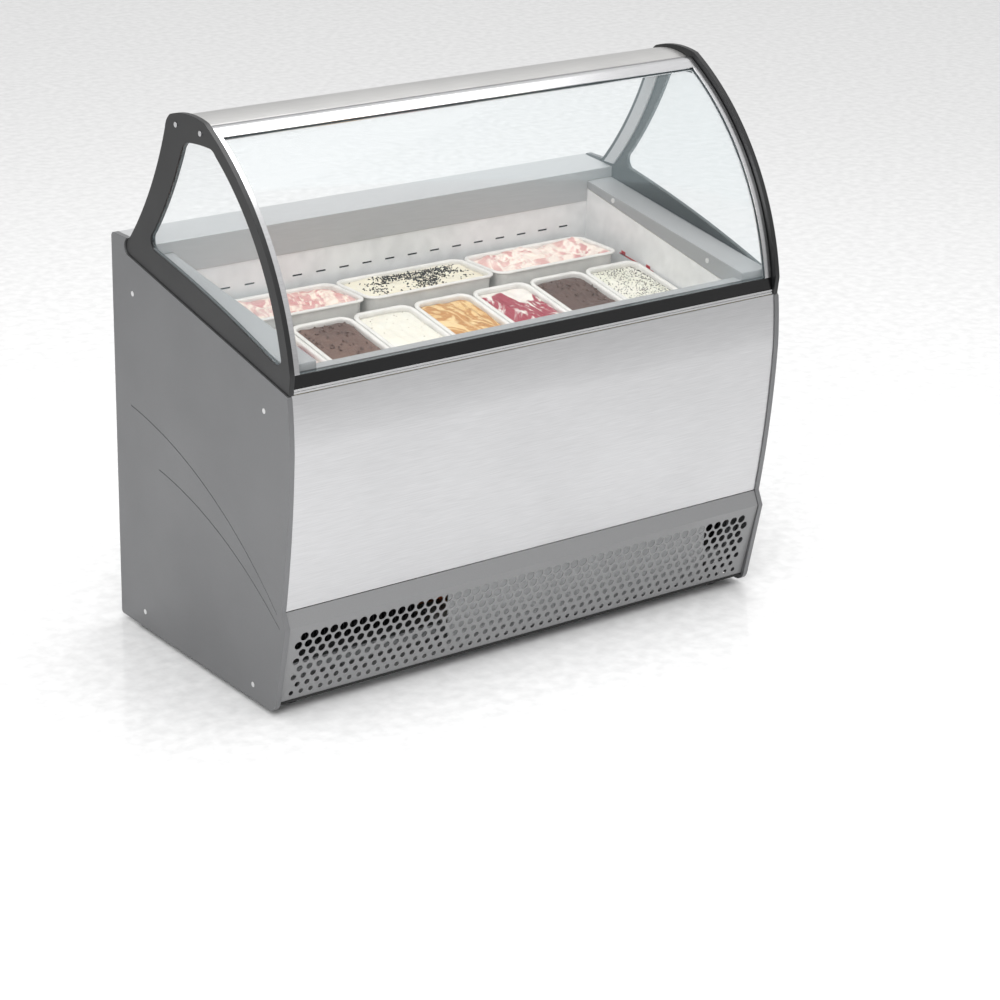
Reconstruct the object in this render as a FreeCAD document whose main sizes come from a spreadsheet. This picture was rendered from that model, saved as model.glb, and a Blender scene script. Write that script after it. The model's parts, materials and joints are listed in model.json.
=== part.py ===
import FreeCAD, Part
import os
import re

import Sketcher
from FreeCAD import Placement, Rotation, Vector

# Ice cream dipping cabinet: a chilled tank of pans under a curved glass front, on castors.
# Millimetres. X runs across the cabinet, the customer's side faces -Y, +Z is up, and the
# origin is on the floor under the middle of the cabinet.

SIZES = {
    # overall
    "body_width": 1345,
    "body_depth": 730,
    "body_height": 1262,
    "joint_gap": 0.3,
    # side panels: heights, and setbacks measured from the front or rear face
    "panel_wall": 12,
    "panel_gap": 12,
    "shoulder_height": 750.5,
    "shoulder_setback": 8.7,
    "brow_bow": 2.1,
    "bulge_height": 625,
    "belly_bow": 6.5,
    "notch_height": 256,
    "notch_setback": 37.2,
    "knee_height": 222,
    "knee_setback": 21.2,
    "toe_setback": 66,
    "shoulder_round": 10,
    "toe_round": 28,
    "heel_round": 8,
    "cap_round": 12,
    "rear_height": 931,
    "lobe_setback": 77.5,
    "lobe_height": 911.5,
    "lobe_radius": 20.4,
    # the two curved lines pressed into each side panel
    "groove_width": 3,
    "groove_depth": 1.2,
    "high_groove_rear_setback": 70,
    "high_groove_rear_height": 542.5,
    "high_groove_front_setback": 55,
    "high_groove_front_height": 249,
    "high_groove_bow": 54,
    "low_groove_rear_setback": 189,
    "low_groove_rear_height": 425,
    "low_groove_front_setback": 44.2,
    "low_groove_front_height": 218,
    "low_groove_bow": 36,
    # screw caps
    "cap_radius": 6,
    "cap_depth": 1.5,
    # front skin and plinth
    "skin_wall": 1.5,
    "skin_inset": 3,
    "skin_top_gap": 0.5,
    "plinth_foot_height": 31.5,
    "plinth_foot_setback": 72,
    "plinth_flange": 18,
    "hole_pitch": 25.2,
    "hole_row_pitch": 20.7,
    "hole_first_row": 17,
    "hole_low_radius": 5.75,
    "hole_high_radius": 10.2,
    # trim and glass seat under the front glass
    "trim_bottom": 752,
    "trim_top": 762.5,
    "trim_setback": 11.5,
    "trim_depth": 5,
    "trim_groove_bottom": 756.3,
    "trim_groove_top": 758.2,
    "trim_groove_depth": 1.5,
    "strip_bottom": 763,
    "strip_top": 790,
    "strip_foot_setback": 13.5,
    "strip_brow_setback": 18.2,
    "strip_back_setback": 37,
    # side brackets that carry the glass
    "bracket_inset": 4,
    "bracket_wall": 12,
    "foot_setback": 3.8,
    "foot_height": 793,
    "brow_setback": 328.4,
    "brow_drop": 6,
    "front_bow": 64.7,
    "crown_setback": 384,
    "nape_setback": 468.8,
    "nape_drop": 14,
    "nape_bow": 4.5,
    "neck_setback": 491.2,
    "neck_drop": 48,
    "waist_bow": 15.5,
    "rail_front": 29,
    "tongue_wall": 3.7,
    "tongue_drop": 45,
    "tongue_rise": 8,
    "tongue_end_margin": 110,
    "bracket_screw_radius": 3,
    "screw_head_radius": 6,
    "screw_head_height": 3,
    "nape_screw_setback": 442.7,
    "nape_screw_drop": 31.5,
    # window in each bracket and the pane in it
    "window_toe_height": 818,
    "window_toe_setback": 65,
    "window_toe_drop": 11.5,
    "window_brow_drop": 67,
    "window_crown_front_setback": 315,
    "window_crown_front_drop": 55,
    "window_crown_rear_setback": 403,
    "window_crown_rear_drop": 62,
    "window_neck_setback": 427,
    "window_neck_drop": 89,
    "window_waist_rear_setback": 177.8,
    "window_waist_rise": 57.5,
    "window_heel_rise": 18,
    "window_heel_bow": 11,
    "window_slope_bow": 8,
    "window_upright_bow": 7,
    "window_corner_bow": 4,
    "window_top_bow": 2,
    "pane_wall": 4,
    # canopy and lamp
    "canopy_front_setback": 356,
    "canopy_rear_setback": 465,
    "canopy_drop": 19,
    "canopy_bow": 8,
    "canopy_height": 21,
    "canopy_wall": 3,
    "lamp_front_setback": 388,
    "lamp_width": 38,
    "lamp_height": 12,
    "lamp_end_margin": 50,
    # hinged front glass
    "rod_setback": 343.2,
    "rod_drop": 30,
    "rod_radius": 4,
    "rod_clearance": 0.05,
    "knuckle_radius": 8.5,
    "glass_inset": 16,
    "glass_wall": 6,
    "glass_top_turn": 1.1,
    "glass_foot_gap": 0.5,
    "glass_side_gap": 2.5,
    "clamp_wall": 2.3,
    "clamp_back_turn": 0.3,
    "clamp_slot_turn": 1,
    "clamp_foot_turn": 3,
    "edge_trim_width": 18,
    "edge_trim_wall": 2.5,
    "edge_trim_web": 2,
    "glass_fit": 0.15,
    # strip over the lamp cable on the inner face of each bracket
    "cable_cover_wall": 6,
    "cable_cover_width": 37,
    "cable_cover_margin": 14,
    # chilled tank
    "tank_half": 582,
    "tank_front_setback": 65,
    "tank_rear_setback": 112,
    "tank_floor": 545,
    "liner_wall": 1.2,
    "sill_low_front": 763.7,
    "sill_low_rear": 874.9,
    "sill_top_front": 811,
    "sill_top_rear": 895,
    "liner_front_top": 785,
    "sill_cap_rear_height": 868,
    "sill_cap_rear_setback": 215,
    "sill_cap_front_height": 806,
    "sill_cap_front_setback": 160,
    "apron_foot": 845,
    "apron_wall": 2.5,
    "ledge_front_top": 921,
    "ledge_rear_top": 929,
    "ledge_wall": 12,
    "ledge_nose_setback": 3,
    "ledge_nose_depth": 8,
    "ledge_nose_foot": 893,
    "slot_length": 26,
    "slot_height": 4,
    "slot_pitch": 64,
    "slot_level": 790,
    "slab_floor_wall": 50,
    "slab_front_setback": 17,
    "slab_rear_setback": 35,
    "slab_rear_top": 908,
    "slab_side_gap": 4.3,
    # evaporator tube round the liner
    "coil_radius": 4.75,
    "riser_radius": 4.75,
    "coil_channel": 10.5,
    "coil_first": 570,
    "coil_pitch": 40,
    "coil_corner": 15,
    "coil_standoff": 2.5,
    "coil_outlet_x": 60,
    "coil_stub_drop": 35,
    # pans
    "pan_length": 360,
    "pan_width": 163,
    "pan_pitch": 165,
    "pan_depth": 120,
    "pan_wall": 2.5,
    "pan_lip": 7,
    "pan_lip_height": 4,
    "pan_taper": 7,
    "pan_corner": 26,
    "pan_fill_gap": 6,
    "pan_tilt": 10.2,
    "front_row_rear_setback": 308,
    "front_row_rear_height": 745.9,
    "rear_row_gap": 11,
    "rear_row_pitch": 363,
    "rear_row_height": 768,
    # rack under the pans
    "rack_bar": 10,
    "rack_cheek": 2.5,
    "rack_side_gap": 0.5,
    "rack_front_setback": 115,
    "rack_middle_setback": 395,
    "rack_rear_front_bar": 22,
    "rack_rear_back_bar": 130,
    "rack_cheek_margin": 6,
    # drain
    "drain_x": 563,
    "drain_y": 150,
    "drain_radius": 16,
    "drain_bore": 12,
    "drain_foot": 45,
    "spigot_length": 27,
    "spigot_step": 1,
    "drain_hole_gap": 1.5,
    "plug_clearance": 0.08,
    "plug_length": 16,
    "plug_head_radius": 14,
    "plug_head_height": 4,
    "plug_knob_radius": 6,
    "plug_knob_height": 9,
    # base frame and castors
    "rail_size": 30,
    "rail_foot": 72,
    "deck_wall": 2,
    "rail_front_setback": 95,
    "rail_rear_setback": 35,
    "castor_x": 600,
    "castor_front_setback": 120,
    "castor_rear_setback": 75,
    "castor_plate_half": 30,
    "castor_plate_wall": 3,
    "castor_trail": 18,
    "castor_race_radius": 20,
    "castor_race_wall": 7,
    "castor_race_gap": 0.2,
    "king_radius": 5,
    "fork_inside": 22,
    "fork_wall": 3,
    "fork_depth": 26,
    "fork_foot": 18,
    "axle_radius": 4,
    "wheel_radius": 25,
    "wheel_width": 18,
    # rear panel, controls and inlet
    "rear_inset": 8.5,
    "rear_foot": 30,
    "louvre_width": 320,
    "louvre_height": 6,
    "louvre_pitch": 20,
    "louvre_first": 130,
    "louvre_x": 425,
    "fascia_x": 470,
    "fascia_z": 800,
    "fascia_width": 190,
    "fascia_height": 60,
    "fascia_wall": 4,
    "housing_margin": 5,
    "housing_depth": 25,
    "display_width": 62,
    "display_height": 26,
    "display_depth": 1,
    "display_offset": 50,
    "button_radius": 4,
    "button_pitch": 18,
    "button_first_offset": 2,
    "button_proud": 2,
    "button_length": 12.5,
    "button_bore_depth": 16,
    "moving_clearance": 0.2,
    "rocker_offset": 68,
    "rocker_width": 19.6,
    "rocker_height": 27.6,
    "rocker_depth": 12,
    "rocker_proud": 2.6,
    "rocker_play": 1.5,
    "rocker_pin_radius": 1.5,
    "rocker_pin_reach": 2,
    "inlet_x": 520,
    "inlet_z": 110,
    "inlet_flange_width": 50,
    "inlet_flange_height": 28,
    "inlet_flange_wall": 3,
    "inlet_body_width": 29,
    "inlet_body_height": 22,
    "inlet_body_depth": 22,
    "inlet_mouth_width": 24.4,
    "inlet_mouth_height": 16.8,
    "inlet_mouth_depth": 19,
    "inlet_pin_width": 2,
    "inlet_pin_height": 4,
    "inlet_pin_length": 14,
    "inlet_pin_pitch": 7,
    # refrigeration unit
    "tray_left": 210,
    "tray_right": 540,
    "tray_wall": 2,
    "tray_front_setback": 75,
    "tray_rear_setback": 70,
    "tray_baffle_foot": 45,
    "tray_baffle_top": 250,
    "condenser_x": 425,
    "condenser_width": 350,
    "condenser_setback": 140,
    "condenser_depth": 50,
    "condenser_height": 270,
    "condenser_end_wall": 2,
    "fin_wall": 1.2,
    "fin_pitch": 10,
    "condenser_tube_radius": 5,
    "shroud_wall": 2,
    "shroud_gap": 1,
    "shroud_ring_depth": 34,
    "fan_radius": 112,
    "fan_tip_gap": 6,
    "fan_hub_radius": 32,
    "fan_hub_depth": 18,
    "fan_blade_chord": 62,
    "fan_blade_wall": 2.4,
    "fan_blade_pitch": 24,
    "fan_setback": 8,
    "fan_shaft_radius": 4,
    "motor_radius": 42,
    "motor_depth": 50,
    "motor_arm": 20,
    "motor_arm_wall": 4,
    "compressor_x": 60,
    "compressor_y": 60,
    "compressor_radius": 85,
    "compressor_height": 185,
    "compressor_foot_half": 95,
    "compressor_foot_wall": 4,
    "mount_radius": 14,
    "mount_height": 12,
    "pipe_radius": 4,
    "pipe_bend": 16,
    "drier_radius": 14,
    "drier_length": 110,
    "box_x": 360,
    "box_y": 210,
    "box_width": 180,
    "box_depth": 120,
    "box_height": 100,
    "box_round": 5,
}

# Sizes worked out from the ones above, in the order they depend on each other.
WORKED_OUT = {
    "front": "-body_depth/2",
    "rear": "body_depth/2",
    "bay_half": "body_width/2 - panel_wall",
    "bracket_outer": "body_width/2 - bracket_inset",
    "bracket_inner": "bracket_outer - bracket_wall",
    "slab_half": "bay_half - slab_side_gap",
    "lobe_y": "rear - lobe_setback",
    "shoulder_y": "front + shoulder_setback",
    "deck_slope": "(lobe_height - lobe_radius - joint_gap - shoulder_height)/(lobe_y - shoulder_y)",
    "arc_rise": "body_height - brow_drop - foot_height",
    "arc_run": "brow_setback - foot_setback",
    "arc_chord": "sqrt(arc_rise^2 + arc_run^2)",
    "arc_radius": "arc_chord^2/(8*front_bow) + front_bow/2",
    "arc_y": "front + (foot_setback + brow_setback)/2 + (arc_radius - front_bow)*arc_rise/arc_chord",
    "arc_z": "(foot_height + body_height - brow_drop)/2 - (arc_radius - front_bow)*arc_run/arc_chord",
    "glass_outer": "arc_radius - glass_inset",
    "glass_inner": "glass_outer - glass_wall",
    "glass_foot": "strip_top + glass_foot_gap",
    "rig_half": "bracket_inner - glass_side_gap",
    "glass_half": "rig_half - edge_trim_web - glass_fit",
    "rod_y": "front + rod_setback",
    "rod_z": "body_height - rod_drop",
    "rod_angle": "180 - atan((rod_z - arc_z)/(arc_y - rod_y))/1deg",
    "foot_angle": "180 - asin((glass_foot - arc_z)/glass_outer)/1deg",
    "tank_front": "front + tank_front_setback",
    "tank_rear": "rear - tank_rear_setback",
    "liner_half": "tank_half + liner_wall",
    "liner_front": "tank_front - liner_wall",
    "liner_rear": "tank_rear + liner_wall",
    "slab_front": "front + slab_front_setback",
    "slab_rear": "rear - slab_rear_setback",
    "slab_floor": "tank_floor - liner_wall - joint_gap",
    "slab_foot": "slab_floor - slab_floor_wall",
    "sill_slope": "(sill_low_rear - sill_low_front)/(tank_rear - tank_front)",
    "sill_front": "front + strip_back_setback + joint_gap",
    "sill_top_slope": "(sill_top_rear - sill_top_front)/(tank_rear - tank_front)",
    "slab_front_top": "sill_low_front - sill_slope*(tank_front - sill_front) - joint_gap",
    "sheet_half": "bracket_inner - joint_gap",
    "skin_half": "bay_half - joint_gap",
    "strip_back": "front + strip_back_setback",
    "pan_rear_y": "rear - front_row_rear_setback",
    "rear_row_front": "pan_rear_y + rear_row_gap",
    "rack_half": "tank_half - rack_side_gap",
    "front_pan_y": "pan_rear_y - cos(pan_tilt)*pan_length/2",
    "front_pan_z": "front_row_rear_height - sin(pan_tilt)*pan_length/2",
    "coil_out": "joint_gap + coil_channel/2 + coil_standoff",
    "coil_half": "liner_half + coil_out",
    "coil_front": "liner_front - coil_out",
    "coil_rear": "liner_rear + coil_out",
    "deck_foot": "rail_foot + rail_size",
    "deck_top": "deck_foot + deck_wall",
    "base_front": "front + rail_front_setback",
    "base_rear": "rear - rail_rear_setback",
    "rear_skin": "rear - rear_inset",
    "plinth_foot_y": "front + plinth_foot_setback",
    "plinth_knee_y": "front + knee_setback + skin_inset",
    "fascia_front": "rear_skin + fascia_wall",
    "tray_top": "deck_top + tray_wall",
    "condenser_front": "front + condenser_setback",
    "condenser_rear": "condenser_front + condenser_depth",
    "shroud_front": "condenser_rear + shroud_gap",
    "fan_z": "deck_top + condenser_height/2",
    "fan_y": "shroud_front + shroud_wall + fan_setback",
    "motor_front": "fan_y + fan_hub_depth + 6",
}

ANY_SIZE = re.compile(r"\b(" + "|".join([*SIZES, *WORKED_OUT]) + r")\b")
AXES = {
    "x": Rotation(Vector(0, 1, 0), 90),
    "y": Rotation(Vector(1, 0, 0), -90),
    "z": Rotation(),
}
SIDES = (("left", -1), ("right", 1))
PIECES = {}

os.makedirs("parts", exist_ok=True)
doc = FreeCAD.newDocument("dipping_cabinet")
sheet = doc.addObject("Spreadsheet::Sheet", "sizes")
for row, (name, number) in enumerate(SIZES.items(), 1):
    sheet.set(f"A{row}", name)
    sheet.set(f"B{row}", str(number))
    sheet.setAlias(f"B{row}", name)
for row, (name, formula) in enumerate(WORKED_OUT.items(), len(SIZES) + 1):
    sheet.set(f"A{row}", name)
    sheet.set(f"B{row}", "=" + formula)
    sheet.setAlias(f"B{row}", name)
doc.recompute()


# ---- helpers: every size is given as text, an expression of the names on the sheet ----
def bound(text):
    return ANY_SIZE.sub(r"sizes.\1", str(text))


def value(text):
    result = sheet.evalExpression(bound(text))
    return float(getattr(result, "Value", result))


def put(item, x, y, z, rotation=AXES["z"]):
    item.Placement = Placement(Vector(0, 0, 0), rotation)
    for letter, text in zip("xyz", (x, y, z)):
        item.setExpression(f"Placement.Base.{letter}", bound(text))
    return item


def box(name, x, y, z):
    """A block given by its span (from, to) along each axis."""
    item = doc.addObject("Part::Box", name)
    for side, (start, end) in zip(("Length", "Width", "Height"), (x, y, z)):
        item.setExpression(side, bound(f"({end}) - ({start})"))
    return put(item, x[0], y[0], z[0])


def cylinder(name, axis, radius, length, x, y, z):
    item = doc.addObject("Part::Cylinder", name)
    item.setExpression("Radius", bound(radius))
    item.setExpression("Height", bound(length))
    return put(item, x, y, z, AXES[axis])


def group(name, items):
    item = doc.addObject("Part::Compound", name)
    item.Links = list(items)
    return item


def cut(name, base, *tools):
    item = doc.addObject("Part::Cut", name)
    item.Base = base
    item.Tool = tools[0] if len(tools) == 1 else group(f"{name}_tools", tools)
    return item


def fuse(name, *items):
    item = doc.addObject("Part::MultiFuse", name)
    item.Shapes = list(items)
    return item


def piece(item):
    assert item.Label == item.Name, item.Name
    PIECES[item.Label] = item
    return item


def new_body(name):
    return doc.addObject("PartDesign::Body", name)


def new_sketch(body, name, plane, offset="0"):
    sketch = body.newObject("Sketcher::SketchObject", name)
    planes = {feature.Role: feature for feature in body.Origin.OriginFeatures}
    sketch.AttachmentSupport = (planes[plane], [""])
    sketch.MapMode = "FlatFace"
    sketch.setExpression("AttachmentOffset.Base.z", bound(offset))
    return sketch


def fix_point(sketch, geometry, end, across, up):
    for kind, text in (("DistanceX", across), ("DistanceY", up)):
        index = sketch.addConstraint(Sketcher.Constraint(kind, geometry, end, value(text)))
        sketch.setExpression(f"Constraints[{index}]", bound(text))


def bowed(start, end, bow):
    """The middle of an arc that bulges by bow to the left of the way from start to end."""
    run = f"(({end[0]}) - ({start[0]}))"
    rise = f"(({end[1]}) - ({start[1]}))"
    chord = f"sqrt({run}^2 + {rise}^2)"
    across = f"(({start[0]}) + ({end[0]}))/2 - ({bow})*{rise}/{chord}"
    up = f"(({start[1]}) + ({end[1]}))/2 + ({bow})*{run}/{chord}"
    return across, up


def add_arc(sketch, start, end, via):
    """An arc through via, drawn anticlockwise whichever way round its ends are given."""
    a, b, c = (Vector(value(p[0]), value(p[1]), 0) for p in (start, end, via))
    onward = (c - a).cross(b - c).z > 0
    arc = Part.Arc(a, c, b) if onward else Part.Arc(b, c, a)
    geometry = sketch.addGeometry(arc, False)
    marker = sketch.addGeometry(Part.Point(c), True)
    sketch.addConstraint(Sketcher.Constraint("PointOnObject", marker, 1, geometry))
    fix_point(sketch, marker, 1, *via)
    return (geometry, 1, 2) if onward else (geometry, 2, 1)


def add_loop(sketch, corners):
    """A closed outline. A corner is (across, up), or (across, up, bow) or
    (across, up, via across, via up) when the side that leaves it is an arc."""
    sides = []
    for index, corner in enumerate(corners):
        onward = corners[(index + 1) % len(corners)]
        if len(corner) == 2:
            ends = [Vector(value(p[0]), value(p[1]), 0) for p in (corner, onward)]
            sides.append((sketch.addGeometry(Part.LineSegment(*ends), False), 1, 2))
        else:
            via = corner[2:] if len(corner) == 4 else bowed(corner, onward, corner[2])
            sides.append(add_arc(sketch, corner, onward, via))
    for index, (geometry, start, end) in enumerate(sides):
        after = sides[(index + 1) % len(sides)]
        sketch.addConstraint(Sketcher.Constraint("Coincident", geometry, end, after[0], after[1]))
        fix_point(sketch, geometry, start, corners[index][0], corners[index][1])


def add_circle(sketch, across, up, radius):
    centre = Vector(value(across), value(up), 0)
    geometry = sketch.addGeometry(Part.Circle(centre, Vector(0, 0, 1), value(radius)), False)
    index = sketch.addConstraint(Sketcher.Constraint("Radius", geometry, value(radius)))
    sketch.setExpression(f"Constraints[{index}]", bound(radius))
    fix_point(sketch, geometry, 3, across, up)


def pad(body, name, sketch, length, taper="0", downward=False):
    feature = body.newObject("PartDesign::Pad", name)
    feature.Profile = sketch
    feature.setExpression("Length", bound(length))
    feature.setExpression("TaperAngle", bound(taper))
    feature.Reversed = downward
    return feature


def pocket(body, name, sketch, length, taper="0", reverse=False):
    feature = body.newObject("PartDesign::Pocket", name)
    feature.Profile = sketch
    feature.setExpression("Length", bound(length))
    feature.setExpression("TaperAngle", bound(taper))
    feature.Reversed = reverse
    return feature


def prism(name, corners, start, end):
    """An outline in the Y-Z plane run along X from start to end."""
    body = new_body(name)
    sketch = new_sketch(body, f"{name}_outline", "YZ_Plane", start)
    add_loop(sketch, corners)
    pad(body, f"{name}_pad", sketch, f"({end}) - ({start})")
    return body


def round_edges(body, name, radius, wanted):
    doc.recompute()
    base = body.Tip
    picked = [f"Edge{n}" for n, edge in enumerate(base.Shape.Edges, 1) if wanted(edge)]
    assert picked, name
    fillet = body.newObject("PartDesign::Fillet", name)
    fillet.Base = (base, picked)
    fillet.setExpression("Radius", bound(radius))
    return fillet


def at_corner(y, z):
    """Picks the edge that runs along X at one corner of a Y-Z outline."""
    spot = Vector(0, value(y), value(z))
    return lambda edge: all(
        Vector(0, vertex.Y, vertex.Z).distanceToPoint(spot) < 0.01 for vertex in edge.Vertexes)


def upright(edge):
    """Picks the edges of a padded rectangle that run from its foot to its top."""
    ends = edge.Vertexes
    return len(ends) == 2 and abs(ends[0].Z - ends[1].Z) > 2


def reach(sign, near, far):
    """The span between two distances from the middle, on the left or the right."""
    return (near, far) if sign > 0 else (f"-({far})", f"-({near})")


def tube_run(name, radius, bend, points):
    """A round tube along straight runs with bends of one radius between them."""
    spots = [Vector(*(value(text) for text in point)) for point in points]
    turn = value(bend)
    edges = []
    start = spots[0]
    for before, corner, after in zip(spots, spots[1:], spots[2:]):
        back = (before - corner).normalize()
        onward = (after - corner).normalize()
        cut_in = corner + back*turn
        cut_out = corner + onward*turn
        middle = corner + (back + onward)*turn*(1 - 0.5**0.5)
        edges.append(Part.makeLine(start, cut_in))
        edges.append(Part.Arc(cut_in, middle, cut_out).toShape())
        start = cut_out
    edges.append(Part.makeLine(start, spots[-1]))
    wire = Part.Wire(edges)
    facing = (spots[1] - spots[0]).normalize()
    profile = Part.Wire([Part.makeCircle(value(radius), spots[0], facing)])
    item = doc.addObject("Part::Feature", name)
    item.Shape = wire.makePipeShell([profile], True, False)
    return item


def polar(radius, turn):
    """A point on the glass's arc, by radius and by degrees from straight back."""
    return f"arc_y + ({radius})*cos({turn})", f"arc_z + ({radius})*sin({turn})"


def on_arc(radius, height):
    return f"arc_y - sqrt(({radius})^2 - (({height}) - arc_z)^2)", height


def deck_height(y):
    """The height of the side panel's sloping top edge."""
    return f"shoulder_height + deck_slope*(({y}) - shoulder_y)"


# ---- cabinet body ----
def groove_loop(kind):
    rear_end = (f"rear - {kind}_groove_rear_setback", f"{kind}_groove_rear_height")
    front_end = (f"front + {kind}_groove_front_setback", f"{kind}_groove_front_height")
    over = [(y, f"{z} + groove_width/2") for y, z in (front_end, rear_end)]
    under = [(y, f"{z} - groove_width/2") for y, z in (rear_end, front_end)]
    return [
        (*over[0], f"{kind}_groove_bow"),
        over[1],
        (*under[0], f"-{kind}_groove_bow"),
        under[1],
    ]


CAP_SPOTS = (
    ("rear - 88", "808"),
    ("front + 100", "694"),
    ("rear - 109", "51"),
    ("front + 155", "47"),
)


def side_panel(side, sign):
    name = f"side_panel_{side}"
    seat = "(lobe_radius + joint_gap)"
    heel = ("rear", "panel_gap")
    cap = ("rear", "rear_height")
    toe = ("front + toe_setback", "panel_gap")
    shoulder = ("shoulder_y", "shoulder_height")
    start, end = reach(sign, "bay_half", "body_width/2")
    body = prism(name, [
        (*shoulder, "-brow_bow"),
        ("front", "bulge_height", "-belly_bow"),
        ("front + notch_setback", "notch_height"),
        ("front + knee_setback", "knee_height"),
        toe,
        heel,
        cap,
        (f"lobe_y + sqrt({seat}^2 - (rear_height - lobe_height)^2)", "rear_height",
         f"lobe_y + {seat}", "lobe_height"),
        ("lobe_y", f"lobe_height - {seat}"),
    ], start, end)
    round_edges(body, f"{name}_shoulder_round", "shoulder_round", at_corner(*shoulder))
    round_edges(body, f"{name}_toe_round", "toe_round", at_corner(*toe))
    round_edges(body, f"{name}_heel_round", "heel_round", at_corner(*heel))
    round_edges(body, f"{name}_cap_round", "cap_round", at_corner(*cap))
    outer = f"{sign}*body_width/2"
    for kind in ("high", "low"):
        line = new_sketch(body, f"{name}_{kind}_line", "YZ_Plane", outer)
        add_loop(line, groove_loop(kind))
        pocket(body, f"{name}_{kind}_groove", line, "groove_depth", reverse=sign < 0)
    seats = new_sketch(body, f"{name}_cap_circles", "YZ_Plane", outer)
    for y, z in CAP_SPOTS:
        add_circle(seats, y, z, "cap_radius + joint_gap")
    pocket(body, f"{name}_cap_seats", seats, "cap_depth", reverse=sign < 0)
    piece(body)


def screw_caps():
    discs = []
    for side, sign in SIDES:
        start, end = reach(sign, "body_width/2 - cap_depth", "body_width/2")
        for number, (y, z) in enumerate(CAP_SPOTS, 1):
            disc = f"panel_cap_{side}_{number}"
            discs.append(cylinder(disc, "x", "cap_radius", "cap_depth", start, y, z))
        start, end = reach(sign, "tank_half - cap_depth", "tank_half")
        for spot in ("front", "rear"):
            y = f"{spot} + sill_cap_front_setback" if spot == "front" else "rear - sill_cap_rear_setback"
            disc = f"sill_cap_{side}_{spot}"
            z = f"sill_cap_{spot}_height"
            discs.append(cylinder(disc, "x", "cap_radius", "cap_depth", start, y, z))
    piece(group("screw_caps", discs))


def front_panel():
    bottom = "notch_height + 1"
    outside = [
        ("shoulder_y + skin_inset", "shoulder_height - skin_top_gap", "-brow_bow"),
        ("front + skin_inset", "bulge_height", "-belly_bow"),
        ("front + notch_setback + skin_inset", bottom),
    ]
    inside = [
        ("front + notch_setback + skin_inset + skin_wall", bottom, "belly_bow"),
        ("front + skin_inset + skin_wall", "bulge_height", "brow_bow"),
        ("shoulder_y + skin_inset + skin_wall", "shoulder_height - skin_top_gap"),
    ]
    piece(prism("front_panel", outside + inside, "-skin_half", "skin_half"))


def plinth_grille():
    lip = "front + notch_setback + skin_inset"
    top = "notch_height - 1"
    name = "plinth_grille"
    body = prism(name, [
        (lip, top),
        ("plinth_knee_y", "knee_height"),
        ("plinth_foot_y", "plinth_foot_height"),
        ("plinth_foot_y + plinth_flange", "plinth_foot_height"),
        ("plinth_foot_y + plinth_flange", "plinth_foot_height + skin_wall"),
        ("plinth_foot_y + skin_wall", "plinth_foot_height + skin_wall"),
        ("plinth_knee_y + skin_wall*1.05", "knee_height"),
        (f"{lip} + skin_wall*1.1", top),
    ], "-skin_half", "skin_half")
    columns = 50
    growth = "(hole_high_radius - hole_low_radius)/7"
    for part, rows in (("first", range(8)), ("last", range(0, 8, 2))):
        holes = new_sketch(body, f"{name}_{part}_holes", "XZ_Plane", "0")
        for row in rows:
            across = f"hole_pitch*{0 if row % 2 == 0 else 0.5} - hole_pitch*{columns/2}"
            if part == "last":
                across = f"hole_pitch*{columns/2}"
            up = f"plinth_foot_height + hole_first_row + hole_row_pitch*{row}"
            add_circle(holes, across, up, f"hole_low_radius + {growth}*{row}")
        feature = pocket(body, f"{name}_{part}_cut", holes, "body_depth")
        feature.Type = "ThroughAll"
        feature.Midplane = True
        if part == "first":
            pattern = body.newObject("PartDesign::LinearPattern", f"{name}_columns")
            pattern.Originals = [feature]
            pattern.Direction = (holes, ["H_Axis"])
            pattern.setExpression("Length", bound(f"hole_pitch*{columns - 1}"))
            pattern.Occurrences = columns
            body.Tip = pattern
    piece(body)


def front_trim():
    face = "front + trim_setback"
    groove = f"{face} + trim_groove_depth"
    back = f"{face} + trim_depth"
    piece(prism("front_trim", [
        (face, "trim_bottom"),
        (face, "trim_groove_bottom"),
        (groove, "trim_groove_bottom"),
        (groove, "trim_groove_top"),
        (face, "trim_groove_top"),
        (face, "trim_top"),
        (back, "trim_top"),
        (back, "trim_bottom"),
    ], "-sheet_half", "sheet_half"))


def glass_seat_strip():
    piece(prism("glass_seat_strip", [
        ("front + strip_foot_setback", "strip_bottom"),
        ("front + strip_brow_setback", "strip_top"),
        ("strip_back", "strip_top"),
        ("strip_back", "strip_bottom"),
    ], "-sheet_half", "sheet_half"))


# ---- chilled tank ----
def front_sill():
    half = "tank_half - joint_gap"
    name = "front_sill"
    plate = box(f"{name}_plate", (f"-({half})", half), ("sill_front", "tank_front"),
                ("liner_front_top + joint_gap", "strip_top"))
    block = box(f"{name}_block", (f"-({half})", half), ("sill_front", "liner_front - joint_gap"),
                ("slab_front_top + joint_gap", "liner_front_top + joint_gap"))
    piece(fuse(name, plate, block))


def side_sills():
    low_front = "sill_low_front - sill_slope*(tank_front - sill_front)"
    top_front = "sill_top_front - sill_top_slope*(tank_front - sill_front)"
    bars = []
    for side, sign in SIDES:
        start, end = reach(sign, "tank_half", "sheet_half")
        bars.append(prism(f"side_sill_{side}", [
            ("sill_front", low_front),
            ("sill_front", top_front),
            ("tank_rear", "sill_top_rear"),
            ("tank_rear", "sill_low_rear"),
        ], start, end))
    piece(group("side_sills", bars))


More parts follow.
